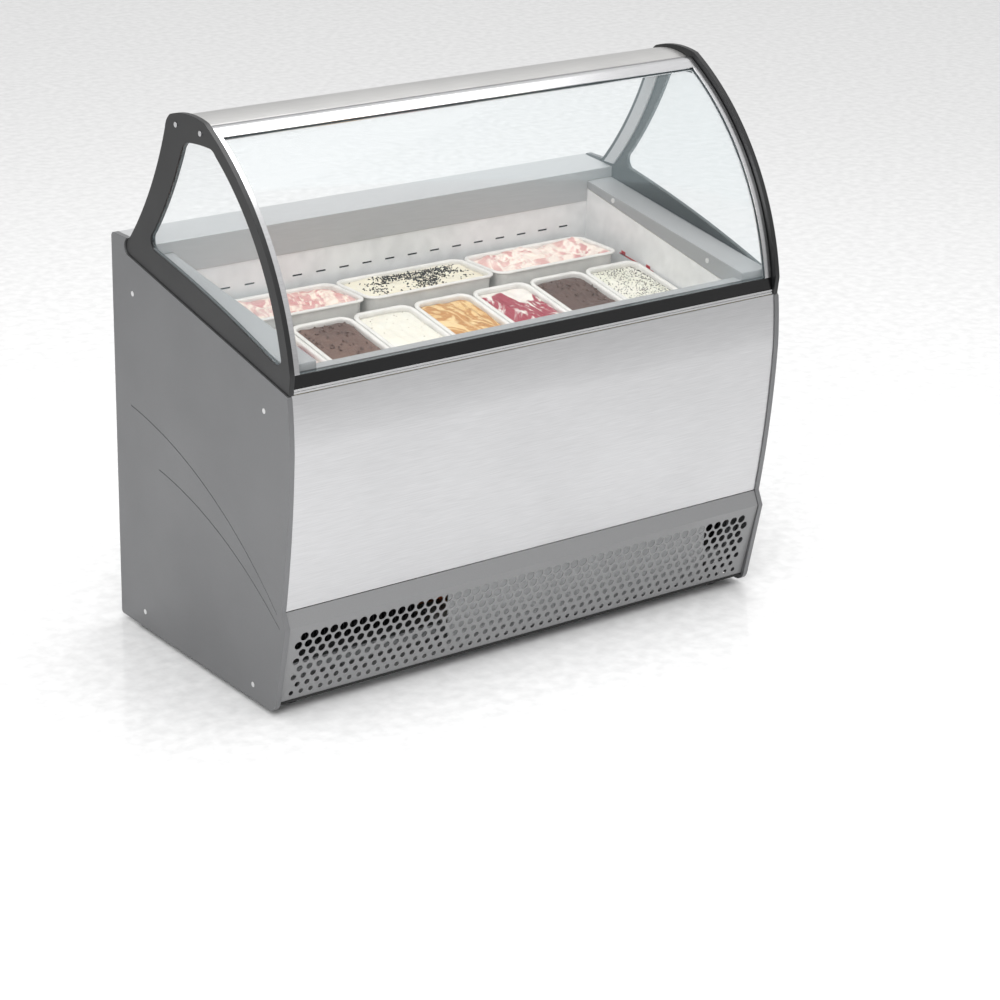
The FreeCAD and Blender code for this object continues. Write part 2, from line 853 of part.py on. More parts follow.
def rear_ledge():
    face = "tank_rear - joint_gap - apron_wall"
    back = "tank_rear - joint_gap"
    step = "sill_top_rear + joint_gap"
    nose = "rear - ledge_nose_setback"
    inner_nose = f"{nose} - ledge_nose_depth"
    top = prism("ledge_top", [
        (face, "ledge_front_top"),
        (nose, "ledge_rear_top"),
        (nose, "ledge_nose_foot"),
        (inner_nose, "ledge_nose_foot"),
        (inner_nose, "ledge_rear_top - ledge_wall"),
        (back, "ledge_front_top - ledge_wall"),
        (back, step),
        (face, step),
    ], "-sheet_half", "sheet_half")
    half = "tank_half - joint_gap"
    apron = box("ledge_apron", (f"-({half})", half), (face, back), ("apron_foot", step))
    piece(fuse("rear_ledge", top, apron))


def inner_liner():
    name = "inner_liner"
    floor = "tank_floor - liner_wall"
    slope_front = "sill_low_front - joint_gap"
    slope_rear = "sill_low_rear - joint_gap"
    shell = prism(f"{name}_outside", [
        ("liner_front", floor),
        ("liner_front", f"{slope_front} - sill_slope*liner_wall"),
        ("liner_rear", f"{slope_rear} + sill_slope*liner_wall"),
        ("liner_rear", floor),
    ], "-liner_half", "liner_half")
    half = "tank_half - joint_gap"
    lip = box(f"{name}_front_lip", (f"-({half})", half), ("liner_front", "tank_front"),
              (f"{slope_front} - 5", "liner_front_top"))
    solid = fuse(f"{name}_solid", shell, lip)
    hollow = box(f"{name}_hollow", ("-tank_half", "tank_half"), ("tank_front", "tank_rear"),
                 ("tank_floor", "body_height"))
    drain = cylinder(f"{name}_drain", "z", "drain_bore + 0.5", "slab_floor_wall", "drain_x",
                     "drain_y", "tank_floor - slab_floor_wall/2")
    slots = []
    for number in range(-8, 9):
        middle = f"slot_pitch*{number}"
        slots.append(box(f"{name}_slot_{number + 9}",
                         (f"{middle} - slot_length/2", f"{middle} + slot_length/2"),
                         ("tank_rear - 1", "liner_rear + 1"),
                         ("slot_level - slot_height/2", "slot_level + slot_height/2")))
    piece(cut(name, solid, hollow, drain, *slots))


def coil_levels():
    return [f"coil_first + coil_pitch*{number}" for number in range(4)]


def insulation_slabs():
    name = "slab"
    front_face = "liner_front - joint_gap"
    rear_face = "liner_rear + joint_gap"
    inner = "liner_half + joint_gap"
    full = ("-slab_half", "slab_half")
    floor = box("slab_floor_block", full, ("slab_front", "slab_rear"), ("slab_foot", "slab_floor"))
    front = box("slab_front_block", full, ("slab_front", front_face),
                ("slab_floor", "slab_front_top"))
    rear = box("slab_rear_block", full, (rear_face, "slab_rear"), ("slab_floor", "slab_rear_top"))
    blocks = {"floor": floor, "front": front, "rear": rear}
    for side, sign in SIDES:
        start, end = reach(sign, inner, "slab_half")
        blocks[side] = prism(f"slab_{side}_block", [
            (front_face, "slab_floor"),
            (front_face, "sill_low_front - joint_gap - sill_slope*(liner_wall + joint_gap)"),
            ("tank_rear", "sill_low_rear - joint_gap"),
            (rear_face, "sill_low_rear - joint_gap"),
            (rear_face, "slab_floor"),
        ], start, end)
    bars = []
    for where, block in blocks.items():
        tools = []
        if where != "floor":
            for number, level in enumerate(coil_levels(), 1):
                tools.append(box(f"{name}_{where}_ring_{number}",
                                 ("-coil_half - coil_channel/2", "coil_half + coil_channel/2"),
                                 ("coil_front - coil_channel/2", "coil_rear + coil_channel/2"),
                                 (f"{level} - coil_channel/2", f"{level} + coil_channel/2")))
        if where in ("floor", "rear"):
            for side, sign in SIDES:
                middle = f"{sign}*coil_outlet_x"
                tools.append(box(f"{name}_{where}_riser_{side}",
                                 (f"{middle} - coil_channel/2", f"{middle} + coil_channel/2"),
                                 ("coil_rear - coil_channel/2", "coil_rear + coil_channel/2"),
                                 ("slab_foot - 1", f"{coil_levels()[-1]} + coil_channel/2")))
        if where == "floor":
            tools.append(cylinder(f"{name}_drain", "z", "drain_radius + joint_gap",
                                  "slab_floor_wall + 2", "drain_x", "drain_y", "slab_foot - 1"))
        merged = fuse(f"{name}_{where}_tools", *tools)
        bars.append(cut(f"{name}_{where}", block, merged))
    piece(group("insulation_slabs", bars))


def evaporator_coil():
    name = "evaporator_coil"
    runs = []
    for number, level in enumerate(coil_levels(), 1):
        for side, sign in SIDES:
            corners = (
                ("0", "coil_front"),
                (f"{sign}*coil_half", "coil_front"),
                (f"{sign}*coil_half", "coil_rear"),
                ("0", "coil_rear"),
            )
            points = [(x, y, level) for x, y in corners]
            runs.append(tube_run(f"{name}_{side}_{number}", "coil_radius", "coil_corner", points))
    for side, sign in SIDES:
        length = f"{coil_levels()[-1]} + riser_radius - slab_foot + coil_stub_drop"
        runs.append(cylinder(f"{name}_riser_{side}", "z", "riser_radius", length,
                             f"{sign}*coil_outlet_x", "coil_rear", "slab_foot - coil_stub_drop"))
    piece(fuse(name, *runs))


def drain():
    tube_top = "tank_floor - liner_wall - joint_gap"
    outside = cylinder("drain_outside", "z", "drain_radius",
                       f"{tube_top} - drain_foot - spigot_length",
                       "drain_x", "drain_y", "drain_foot + spigot_length")
    spigot = cylinder("drain_spigot", "z", "drain_radius - spigot_step", "spigot_length + 1",
                      "drain_x", "drain_y", "drain_foot")
    bore = cylinder("drain_inside", "z", "drain_bore", f"{tube_top} - drain_foot + 2",
                    "drain_x", "drain_y", "drain_foot - 1")
    piece(cut("drain_pipe", fuse("drain_tube", outside, spigot), bore))
    stem = cylinder("plug_stem", "z", "drain_bore - plug_clearance", "plug_length + 1",
                    "drain_x", "drain_y", "tank_floor - plug_length")
    head = cylinder("plug_head", "z", "plug_head_radius", "plug_head_height", "drain_x",
                    "drain_y", "tank_floor + 0.05")
    knob = cylinder("plug_knob", "z", "plug_knob_radius", "plug_knob_height + 1", "drain_x",
                    "drain_y", "tank_floor + plug_head_height - 1")
    piece(fuse("drain_plug", stem, head, knob))


# ---- pans and the rack under them ----
def round_loop(half_length, half_width, radius):
    """A rectangle with rounded corners about the middle of its sketch."""
    k = f"({radius})*(1 - sqrt(0.5))"
    a = f"({half_length})"
    b = f"({half_width})"
    r = f"({radius})"
    return [
        (f"-{a} + {r}", f"-{b}"),
        (f"{a} - {r}", f"-{b}", f"{a} - {k}", f"-{b} + {k}"),
        (a, f"-{b} + {r}"),
        (a, f"{b} - {r}", f"{a} - {k}", f"{b} - {k}"),
        (f"{a} - {r}", b),
        (f"-{a} + {r}", b, f"-{a} + {k}", f"{b} - {k}"),
        (f"-{a}", f"{b} - {r}"),
        (f"-{a}", f"-{b} + {r}", f"-{a} + {k}", f"-{b} + {k}"),
    ]


def pan(name, x, y, z, rotation):
    """A tapered tub with a rolled lip, its rim at the middle of the part, and its fill."""
    lean = "-atan(pan_taper/(pan_depth - pan_lip_height))"
    tub = new_body(f"{name}_tub")
    lip = new_sketch(tub, f"{name}_lip_line", "XY_Plane", "0")
    add_loop(lip, round_loop("pan_width/2", "pan_length/2", "pan_corner"))
    pad(tub, f"{name}_lip", lip, "pan_lip_height", downward=True)
    wall = new_sketch(tub, f"{name}_wall_line", "XY_Plane", "-pan_lip_height")
    add_loop(wall, round_loop("pan_width/2 - pan_lip", "pan_length/2 - pan_lip",
                              "pan_corner - pan_lip"))
    pad(tub, f"{name}_wall", wall, "pan_depth - pan_lip_height", taper=lean, downward=True)
    mouth = new_sketch(tub, f"{name}_mouth_line", "XY_Plane", "0")
    inset = "(pan_lip + pan_wall)"
    add_loop(mouth, round_loop(f"pan_width/2 - {inset}", f"pan_length/2 - {inset}",
                               f"pan_corner - {inset}"))
    pocket(tub, f"{name}_hollow", mouth, "pan_depth - pan_wall", taper=lean)
    put(tub, x, y, z, rotation)
    fill = new_body(f"{name}_fill")
    level = new_sketch(fill, f"{name}_fill_line", "XY_Plane", "-pan_fill_gap")
    inset = "(pan_lip + pan_wall + joint_gap + pan_fill_gap*pan_taper/(pan_depth - pan_lip_height))"
    add_loop(level, round_loop(f"pan_width/2 - {inset}", f"pan_length/2 - {inset}",
                               f"pan_corner - {inset}"))
    pad(fill, f"{name}_fill_pad", level, "pan_depth - pan_wall - pan_fill_gap", taper=lean,
        downward=True)
    put(fill, x, y, z, rotation)
    piece(group(name, [tub, fill]))


def pans():
    tilt = Rotation(Vector(1, 0, 0), value("pan_tilt"))
    for number in range(7):
        x = f"pan_pitch*{number - 3}"
        pan(f"pan_front_{number + 1}", x, "front_pan_y", "front_pan_z", tilt)
    quarter = Rotation(Vector(0, 0, 1), 90)
    for number in range(3):
        x = f"rear_row_pitch*{number - 1}"
        pan(f"pan_rear_{number + 1}", x, "rear_row_front + pan_width/2", "rear_row_height", quarter)


def pan_rack():
    """Two cheeks standing on the tank floor, with four bars that the pans stand on."""
    def under_front_row(y):
        base = "(front_pan_z - cos(pan_tilt)*pan_depth)"
        away = f"(({y}) - front_pan_y - sin(pan_tilt)*pan_depth)"
        return f"{base} + {away}*tan(pan_tilt) - joint_gap"

    first = "front + rack_front_setback"
    second = "front + rack_middle_setback"
    third = "rear_row_front + rack_rear_front_bar"
    fourth = "rear_row_front + rack_rear_back_bar"
    level = "rear_row_height - pan_depth - joint_gap"
    bars = []
    for number, (y, top) in enumerate((
            (first, under_front_row(first)), (second, under_front_row(second)),
            (third, level), (fourth, level)), 1):
        bars.append(box(f"rack_bar_{number}", ("-rack_half + 1", "rack_half - 1"),
                        (y, f"{y} + rack_bar"), (f"{top} - rack_bar", top)))
    foot = "tank_floor + joint_gap"
    back = f"{fourth} + rack_bar + rack_cheek_margin"
    toe = f"{first} - rack_cheek_margin"
    for side, sign in SIDES:
        start, end = reach(sign, "rack_half - rack_cheek", "rack_half")
        bars.append(prism(f"rack_cheek_{side}", [
            (toe, foot),
            (back, foot),
            (back, level),
            (third, level),
            (toe, f"{under_front_row(first)}"),
        ], start, end))
    piece(fuse("pan_rack", *bars))


# ---- glass frame ----
def window_loop(gap):
    """The window in a bracket, or, with a gap, the pane that stands in it."""
    heel_y = f"rear - window_waist_rear_setback - ({gap})"
    return [
        (*on_arc(f"arc_radius - rail_front - ({gap})", "window_toe_height"),
         *on_arc(f"arc_radius - rail_front - ({gap})",
                 "(window_toe_height + body_height - window_brow_drop)/2")),
        (*on_arc(f"arc_radius - rail_front - ({gap})", f"body_height - window_brow_drop - ({gap})"),
         "window_corner_bow"),
        ("front + window_crown_front_setback",
         f"body_height - window_crown_front_drop - ({gap})", "window_top_bow"),
        ("front + window_crown_rear_setback",
         f"body_height - window_crown_rear_drop - ({gap})", "window_corner_bow"),
        (f"front + window_neck_setback - ({gap})", f"body_height - window_neck_drop - ({gap})",
         "-window_upright_bow"),
        (heel_y, "lobe_height + window_waist_rise", "window_heel_bow"),
        (f"{heel_y} - 2", f"lobe_height + window_heel_rise + ({gap})", "-window_slope_bow"),
        (f"front + window_toe_setback", f"window_toe_height - window_toe_drop + ({gap})",
         "window_corner_bow"),
    ]


def frame_bracket(side, sign):
    name = f"frame_bracket_{side}"
    start, end = reach(sign, "bracket_inner", "bracket_outer")
    lobe_top = "lobe_height + sqrt(lobe_radius^2 - 3.7^2)"
    plate = prism(f"{name}_plate", [
        ("shoulder_y", "shoulder_height + joint_gap"),
        ("front + foot_setback", "foot_height", "front_bow"),
        ("front + brow_setback", "body_height - brow_drop",
         "front + crown_setback", "body_height"),
        ("front + nape_setback", "body_height - nape_drop", "nape_bow"),
        ("front + neck_setback", "body_height - neck_drop", "-waist_bow"),
        ("lobe_y + 3.7", lobe_top, "lobe_y + lobe_radius", "lobe_height"),
        ("lobe_y", "lobe_height - lobe_radius"),
    ], start, end)
    window = new_sketch(plate, f"{name}_window_line", "YZ_Plane", start)
    add_loop(window, window_loop("0"))
    pocket(plate, f"{name}_window", window, "bracket_wall", reverse=True)
    screws = new_sketch(plate, f"{name}_screw_circles", "YZ_Plane", start)
    for y, z in bracket_screw_spots():
        add_circle(screws, y, z, "bracket_screw_radius + joint_gap")
    pocket(plate, f"{name}_screw_holes", screws, "bracket_wall", reverse=True)
    inner, outer = reach(sign, "bracket_inner", "bracket_inner + tongue_wall")
    toe = "shoulder_y + tongue_end_margin"
    heel = "lobe_y - tongue_end_margin"
    tongue = prism(f"{name}_tongue", [
        (toe, f"{deck_height(toe)} - tongue_drop"),
        (heel, f"{deck_height(heel)} - tongue_drop"),
        (heel, f"{deck_height(heel)} + tongue_rise"),
        (toe, f"{deck_height(toe)} + tongue_rise"),
    ], inner, outer)
    piece(fuse(name, plate, tongue))


def bracket_screw_spots():
    return (("rod_y", "rod_z"),
            ("front + nape_screw_setback", "body_height - nape_screw_drop"))


def bracket_screws():
    screws = []
    for side, sign in SIDES:
        for number, (y, z) in enumerate(bracket_screw_spots(), 1):
            name = f"bracket_screw_{side}_{number}"
            start, end = reach(sign, "bracket_inner + 0.1", "bracket_outer + 1")
            shank = cylinder(f"{name}_shank", "x", "bracket_screw_radius",
                             "bracket_wall + 0.9", start, y, z)
            start, end = reach(sign, "bracket_outer", "bracket_outer + screw_head_height")
            head = cylinder(f"{name}_head", "x", "screw_head_radius", "screw_head_height",
                            start, y, z)
            screws.append(fuse(name, shank, head))
    piece(group("bracket_screws", screws))


def cable_covers():
    covers = []
    top = "body_height - neck_drop"
    foot = "ledge_rear_top + joint_gap"
    rear_top = "front + neck_setback - cable_cover_margin"
    rear_foot = "lobe_y + 3.7 - cable_cover_margin"
    for side, sign in SIDES:
        start, end = reach(sign, "bracket_inner - cable_cover_wall", "bracket_inner")
        covers.append(prism(f"cable_cover_{side}", [
            (rear_top, top, "-waist_bow"),
            (rear_foot, foot),
            (f"{rear_foot} - cable_cover_width", foot, "waist_bow"),
            (f"{rear_top} - cable_cover_width", top),
        ], start, end))
    piece(group("cable_covers", covers))


def side_glasses():
    panes = []
    for side, sign in SIDES:
        middle = "bracket_inner + bracket_wall/2"
        start, end = reach(sign, f"{middle} - pane_wall/2", f"{middle} + pane_wall/2")
        panes.append(prism(f"side_glass_{side}", window_loop("joint_gap"), start, end))
    piece(group("side_glasses", panes))


def canopy():
    name = "canopy"
    top = "body_height - canopy_drop"
    foot = f"{top} - canopy_height"
    y0 = "front + canopy_front_setback"
    y1 = "front + canopy_rear_setback"
    body = prism(f"{name}_hood", [
        (y0, foot),
        (y0, top, "canopy_bow"),
        (y1, top),
        (y1, foot),
    ], "-sheet_half", "sheet_half")
    hollow = new_sketch(body, f"{name}_hollow_line", "YZ_Plane", "-sheet_half")
    add_loop(hollow, [
        (f"{y0} + canopy_wall", f"{foot} + canopy_wall"),
        (f"{y0} + canopy_wall", f"{top} - canopy_wall", "canopy_bow"),
        (f"{y1} - canopy_wall", f"{top} - canopy_wall"),
        (f"{y1} - canopy_wall", f"{foot} + canopy_wall"),
    ])
    pocket(body, f"{name}_hollow", hollow, "2*sheet_half", reverse=True)
    half = "sheet_half - lamp_end_margin"
    y2 = "front + lamp_front_setback"
    slot = box(f"{name}_slot", (f"-({half}) - joint_gap", f"{half} + joint_gap"),
               (f"{y2} - joint_gap", f"{y2} + lamp_width + joint_gap"),
               (f"{foot} - 1", f"{foot} + canopy_wall + 1"))
    piece(cut(name, body, slot))
    tube = box("lamp_tube", (f"-({half})", half), (y2, f"{y2} + lamp_width"),
               (f"{foot} - 2", f"{foot} + lamp_height - 2"))
    flange = box("lamp_flange", (f"-({half})", half),
                 (f"{y2} - 4", f"{y2} + lamp_width + 4"),
                 (f"{foot} + canopy_wall + joint_gap", f"{foot} + canopy_wall + joint_gap + 2"))
    piece(fuse("canopy_lamp", tube, flange))


def front_glass():
    rod = cylinder("hinge_rod", "x", "rod_radius", "2*bracket_inner", "-bracket_inner",
                   "rod_y", "rod_z")
    piece(rod)
    top = "rod_angle + glass_top_turn"
    mid = f"({top} + foot_angle)/2"
    piece(prism("front_glass", [
        (*on_arc("glass_outer", "glass_foot"), *polar("glass_outer", mid)),
        polar("glass_outer", top),
        (*polar("glass_inner", top), *polar("glass_inner", mid)),
        on_arc("glass_inner", "glass_foot"),
    ], "-glass_half", "glass_half"))
    clamp_loop = [
        (*polar("glass_outer + clamp_wall", "rod_angle - clamp_back_turn"),
         *polar("glass_outer + clamp_wall", "rod_angle + clamp_foot_turn/2")),
        polar("glass_outer + clamp_wall", "rod_angle + clamp_foot_turn"),
        (*polar("glass_inner - clamp_wall", "rod_angle + clamp_foot_turn"),
         *polar("glass_inner - clamp_wall", "rod_angle + clamp_foot_turn/2")),
        polar("glass_inner - clamp_wall", "rod_angle - clamp_back_turn"),
    ]
    rail = prism("clamp_rail", clamp_loop, "-rig_half", "rig_half")
    slot = prism("clamp_slot", [
        (*polar("glass_outer + glass_fit", "rod_angle + clamp_slot_turn"),
         *polar("glass_outer + glass_fit", "rod_angle + clamp_foot_turn/2 + 1")),
        polar("glass_outer + glass_fit", "rod_angle + clamp_foot_turn + 1"),
        (*polar("glass_inner - glass_fit", "rod_angle + clamp_foot_turn + 1"),
         *polar("glass_inner - glass_fit", "rod_angle + clamp_foot_turn/2 + 1")),
        polar("glass_inner - glass_fit", "rod_angle + clamp_slot_turn"),
    ], "-glass_half - glass_fit", "glass_half + glass_fit")
    knuckle = cylinder("clamp_knuckle", "x", "knuckle_radius", "2*rig_half", "-rig_half",
                       "rod_y", "rod_z")
    solid = fuse("clamp_solid", rail, knuckle)
    bore = cylinder("clamp_bore", "x", "rod_radius + rod_clearance", "2*rig_half + 2",
                    "-rig_half - 1", "rod_y", "rod_z")
    piece(cut("glass_clamp", solid, slot, bore))
    start_turn = "rod_angle + clamp_foot_turn + 0.04"
    middle = f"({start_turn} + foot_angle)/2"
    outer = "glass_outer + edge_trim_wall"
    inner = "glass_inner - edge_trim_wall"
    trims = []
    for side, sign in SIDES:
        start, end = reach(sign, "rig_half - edge_trim_width", "rig_half")
        bar = prism(f"edge_trim_{side}_bar", [
            (*on_arc(outer, "glass_foot"), *polar(outer, middle)),
            polar(outer, start_turn),
            (*polar(inner, start_turn), *polar(inner, middle)),
            on_arc(inner, "glass_foot"),
        ], start, end)
        slack = "glass_fit"
        inside, outside = reach(sign, "rig_half - edge_trim_width - 1", "glass_half + glass_fit")
        channel = prism(f"edge_trim_{side}_channel", [
            (*on_arc(f"glass_outer + {slack}", "glass_foot - 1"),
             *polar(f"glass_outer + {slack}", middle)),
            polar(f"glass_outer + {slack}", f"{start_turn} - 0.5"),
            (*polar(f"glass_inner - {slack}", f"{start_turn} - 0.5"),
             *polar(f"glass_inner - {slack}", middle)),
            on_arc(f"glass_inner - {slack}", "glass_foot - 1"),
        ], inside, outside)
        trims.append(cut(f"edge_trim_{side}", bar, channel))
    piece(group("glass_edge_trims", trims))


# ---- base and castors ----
def base_frame():
    name = "base"
    top = "slab_foot - joint_gap"
    ys = {"front": ("base_front", "base_front + rail_size"),
          "rear": ("base_rear - rail_size", "base_rear")}
    rails = []
    for where, span in ys.items():
        rails.append(box(f"{name}_rail_{where}", ("-slab_half", "slab_half"), span,
                         ("rail_foot", "deck_foot")))
    for side, sign in SIDES:
        xs = reach(sign, "slab_half - rail_size", "slab_half")
        rails.append(box(f"{name}_rail_{side}", xs,
                         ("base_front + rail_size", "base_rear - rail_size"),
                         ("rail_foot", "deck_foot")))
        for where, span in ys.items():
            rails.append(box(f"{name}_post_{side}_{where}", xs, span, ("deck_top", top)))
    deck = box(f"{name}_deck_sheet", ("-slab_half", "slab_half"), ("base_front", "base_rear"),
               ("deck_foot", "deck_top"))
    hole = cylinder(f"{name}_drain_hole", "z", "drain_radius + drain_hole_gap", "deck_wall + 2",
                    "drain_x", "drain_y", "deck_foot - 1")
    rails.append(cut(f"{name}_deck", deck, hole))
    piece(group("base_frame", rails))


def castor_places():
    for side, sign in SIDES:
        yield f"front_{side}", f"{sign}*castor_x", "front + castor_front_setback", True
        yield f"rear_{side}", f"{sign}*castor_x", "rear - castor_rear_setback", False


def fork(name, x, y, wheel_y, top):
    """A crown plate, two cheeks and an axle, with its crown's top at the height top."""
    half = "fork_inside/2"
    crown_foot = f"{top} - fork_wall"
    parts = [box(f"{name}_crown", (f"{x} - {half} - fork_wall", f"{x} + {half} + fork_wall"),
                 (f"{y} - fork_depth/2", f"{wheel_y} + fork_depth/2"), (crown_foot, top))]
    for side, sign in SIDES:
        start, end = reach(sign, half, f"{half} + fork_wall")
        parts.append(box(f"{name}_cheek_{side}", (f"{x} + {start}", f"{x} + {end}"),
                         (f"{wheel_y} - fork_depth/2", f"{wheel_y} + fork_depth/2"),
                         ("fork_foot", top)))
    parts.append(cylinder(f"{name}_axle", "x", "axle_radius", "fork_inside + fork_wall*2",
                          f"{x} - {half} - fork_wall", wheel_y, "wheel_radius"))
    return parts


def castors():
    mounts = []
    race_top = "rail_foot - castor_plate_wall"
    race_foot = f"{race_top} - castor_race_wall"
    for spot, x, y, fixed in castor_places():
        name = f"castor_{spot}"
        half = "castor_plate_half"
        plate = box(f"{name}_plate", (f"{x} - {half}", f"{x} + {half}"),
                    (f"{y} - {half}", f"{y} + {half}"), (race_top, "rail_foot"))
        race = cylinder(f"{name}_race", "z", "castor_race_radius", "castor_race_wall + 1",
                        x, y, race_foot)
        wheel_y = y if fixed else f"{y} + castor_trail"
        if fixed:
            parts = fork(name, x, y, wheel_y, race_foot)
            mounts.append(fuse(f"{name}_mount", plate, race, *parts))
        else:
            solid = fuse(f"{name}_solid", plate, race)
            bore = cylinder(f"{name}_bore", "z", "king_radius + rod_clearance",
                            "castor_race_wall + 2", x, y, f"{race_foot} - 1")
            mounts.append(cut(f"{name}_mount", solid, bore))
            top = f"{race_foot} - castor_race_gap"
            pin = cylinder(f"{name}_king", "z", "king_radius", "castor_race_wall",
                           x, y, f"{top} - 1")
            side = spot.split("_")[1]
            fork_name = f"castor_fork_rear_{side}"
            piece(fuse(fork_name, pin, *fork(name, x, y, wheel_y, top)))
        side = spot.split("_")[1]
        where = spot.split("_")[0]
        wheel = f"castor_wheel_{where}_{side}"
        tyre = cylinder(f"{wheel}_tyre", "x", "wheel_radius", "wheel_width",
                        f"{x} - wheel_width/2", wheel_y, "wheel_radius")
        hole = cylinder(f"{wheel}_bore", "x", "axle_radius + rod_clearance", "wheel_width + 2",
                        f"{x} - wheel_width/2 - 1", wheel_y, "wheel_radius")
        piece(cut(wheel, tyre, hole))
    piece(group("castor_mounts", mounts))


# ---- rear panel, controls and inlet ----
def rear_panel():
    name = "rear_panel"
    skin = ("rear_skin - skin_wall", "rear_skin")
    solid = box(f"{name}_sheet", ("-skin_half", "skin_half"), skin,
                ("rear_foot", "ledge_nose_foot - joint_gap"))
    through = ("rear_skin - skin_wall - 1", "rear_skin + 1")
    openings = []
    for number in range(12):
        foot = f"louvre_first + louvre_pitch*{number}"
        openings.append(box(f"{name}_louvre_{number + 1}",
                            ("-louvre_x - louvre_width/2", "-louvre_x + louvre_width/2"),
                            through, (foot, f"{foot} + louvre_height")))
    openings.append(box(f"{name}_control_opening",
                        ("fascia_x - fascia_width/2 + housing_margin - joint_gap",
                         "fascia_x + fascia_width/2 - housing_margin + joint_gap"), through,
                        ("fascia_z - fascia_height/2 + housing_margin - joint_gap",
                         "fascia_z + fascia_height/2 - housing_margin + joint_gap")))
    openings.append(box(f"{name}_inlet_opening",
                        ("inlet_x - inlet_body_width/2 - joint_gap",
                         "inlet_x + inlet_body_width/2 + joint_gap"), through,
                        ("inlet_z - inlet_body_height/2 - joint_gap",
                         "inlet_z + inlet_body_height/2 + joint_gap")))
    piece(cut(name, solid, *openings))


def button_x(number):
    return f"fascia_x + button_first_offset + button_pitch*{number}"


def controller():
    name = "controller"
    half_w = "fascia_width/2"
    half_h = "fascia_height/2"
    plate = box(f"{name}_plate", (f"fascia_x - {half_w}", f"fascia_x + {half_w}"),
                ("rear_skin", "fascia_front"), (f"fascia_z - {half_h}", f"fascia_z + {half_h}"))
    case = box(f"{name}_case",
               (f"fascia_x - {half_w} + housing_margin", f"fascia_x + {half_w} - housing_margin"),
               ("rear_skin - housing_depth", "rear_skin + 1"),
               (f"fascia_z - {half_h} + housing_margin", f"fascia_z + {half_h} - housing_margin"))
    solid = fuse(f"{name}_solid", plate, case)
    glass_x = "fascia_x - display_offset"
    tools = [box(f"{name}_display",
                 (f"{glass_x} - display_width/2", f"{glass_x} + display_width/2"),
                 ("fascia_front - display_depth", "fascia_front + 1"),
                 ("fascia_z - display_height/2", "fascia_z + display_height/2"))]
    for number, label in enumerate(("set", "up", "down")):
        x = button_x(number)
        tools.append(cylinder(f"{name}_{label}_bore", "y", "button_radius + moving_clearance",
                              "button_bore_depth + 1", x, "fascia_front - button_bore_depth",
                              "fascia_z"))
    middle = "fascia_x + rocker_offset"
    width = "(rocker_width/2 + moving_clearance)"
    height = "(rocker_height/2 + rocker_play)"
    opening = box(f"{name}_rocker_opening", (f"{middle} - {width}", f"{middle} + {width}"),
                  ("fascia_front - rocker_depth - rocker_play*2", "fascia_front + 1"),
                  (f"fascia_z - {height}", f"fascia_z + {height}"))
    pivot = cylinder(f"{name}_rocker_bore", "x", "rocker_pin_radius + rod_clearance",
                     f"2*{width} + rocker_pin_reach*2", f"{middle} - {width} - rocker_pin_reach",
                     "fascia_front + rocker_proud - rocker_depth/2", "fascia_z")
    tools.append(fuse(f"{name}_rocker_space", opening, pivot))
    piece(cut(name, solid, *tools))
    for number, label in enumerate(("set", "up", "down")):
        piece(cylinder(f"{label}_button", "y", "button_radius", "button_length + button_proud",
                       button_x(number), "fascia_front - button_length", "fascia_z"))
    rocker = box("main_switch_rocker", (f"{middle} - rocker_width/2", f"{middle} + rocker_width/2"),
                 ("fascia_front + rocker_proud - rocker_depth", "fascia_front + rocker_proud"),
                 ("fascia_z - rocker_height/2", "fascia_z + rocker_height/2"))
    reach_out = "(rocker_width/2 + rocker_pin_reach - 0.2)"
    pins = cylinder("main_switch_pins", "x", "rocker_pin_radius", f"2*{reach_out}",
                    f"{middle} - {reach_out}", "fascia_front + rocker_proud - rocker_depth/2",
                    "fascia_z")
    piece(fuse("main_switch", rocker, pins))


def power_inlet():
    name = "power_inlet"

    def block(tag, width, height, start, end):
        return box(f"{name}_{tag}", (f"inlet_x - {width}/2", f"inlet_x + {width}/2"), (start, end),
                   (f"inlet_z - {height}/2", f"inlet_z + {height}/2"))

    flange = block("flange", "inlet_flange_width", "inlet_flange_height", "rear_skin",
                   "rear_skin + inlet_flange_wall")
    shell = block("shell", "inlet_body_width", "inlet_body_height",
                  "rear_skin - inlet_body_depth", "rear_skin + 1")
    face = "rear_skin + inlet_flange_wall"
    mouth = block("mouth", "inlet_mouth_width", "inlet_mouth_height",
                  f"{face} - inlet_mouth_depth", f"{face} + 1")
    solid = cut(f"{name}_socket", fuse(f"{name}_solid", flange, shell), mouth)
    pins = []
    for number in (-1, 0, 1):
        middle = f"inlet_x + inlet_pin_pitch*{number}"
        start = f"{face} - inlet_mouth_depth - 1"
        pins.append(box(f"{name}_pin_{number + 2}",
                        (f"{middle} - inlet_pin_width/2", f"{middle} + inlet_pin_width/2"),
                        (start, f"{start} + 1 + inlet_pin_length"),
                        ("inlet_z - inlet_pin_height/2", "inlet_z + inlet_pin_height/2")))
    piece(fuse(name, solid, *pins))


# ---- refrigeration unit ----
def condensing_unit_tray():
    xs = ("-tray_left", "tray_right")
    y0 = "front + tray_front_setback"
    floor = box("tray_floor", xs, (y0, "rear - tray_rear_setback"), ("deck_top", "tray_top"))
    baffle = box("tray_baffle", xs, (y0, f"{y0} + tray_wall"),
                 ("tray_baffle_foot", "tray_baffle_top"))
    piece(fuse("condensing_unit_tray", floor, baffle))


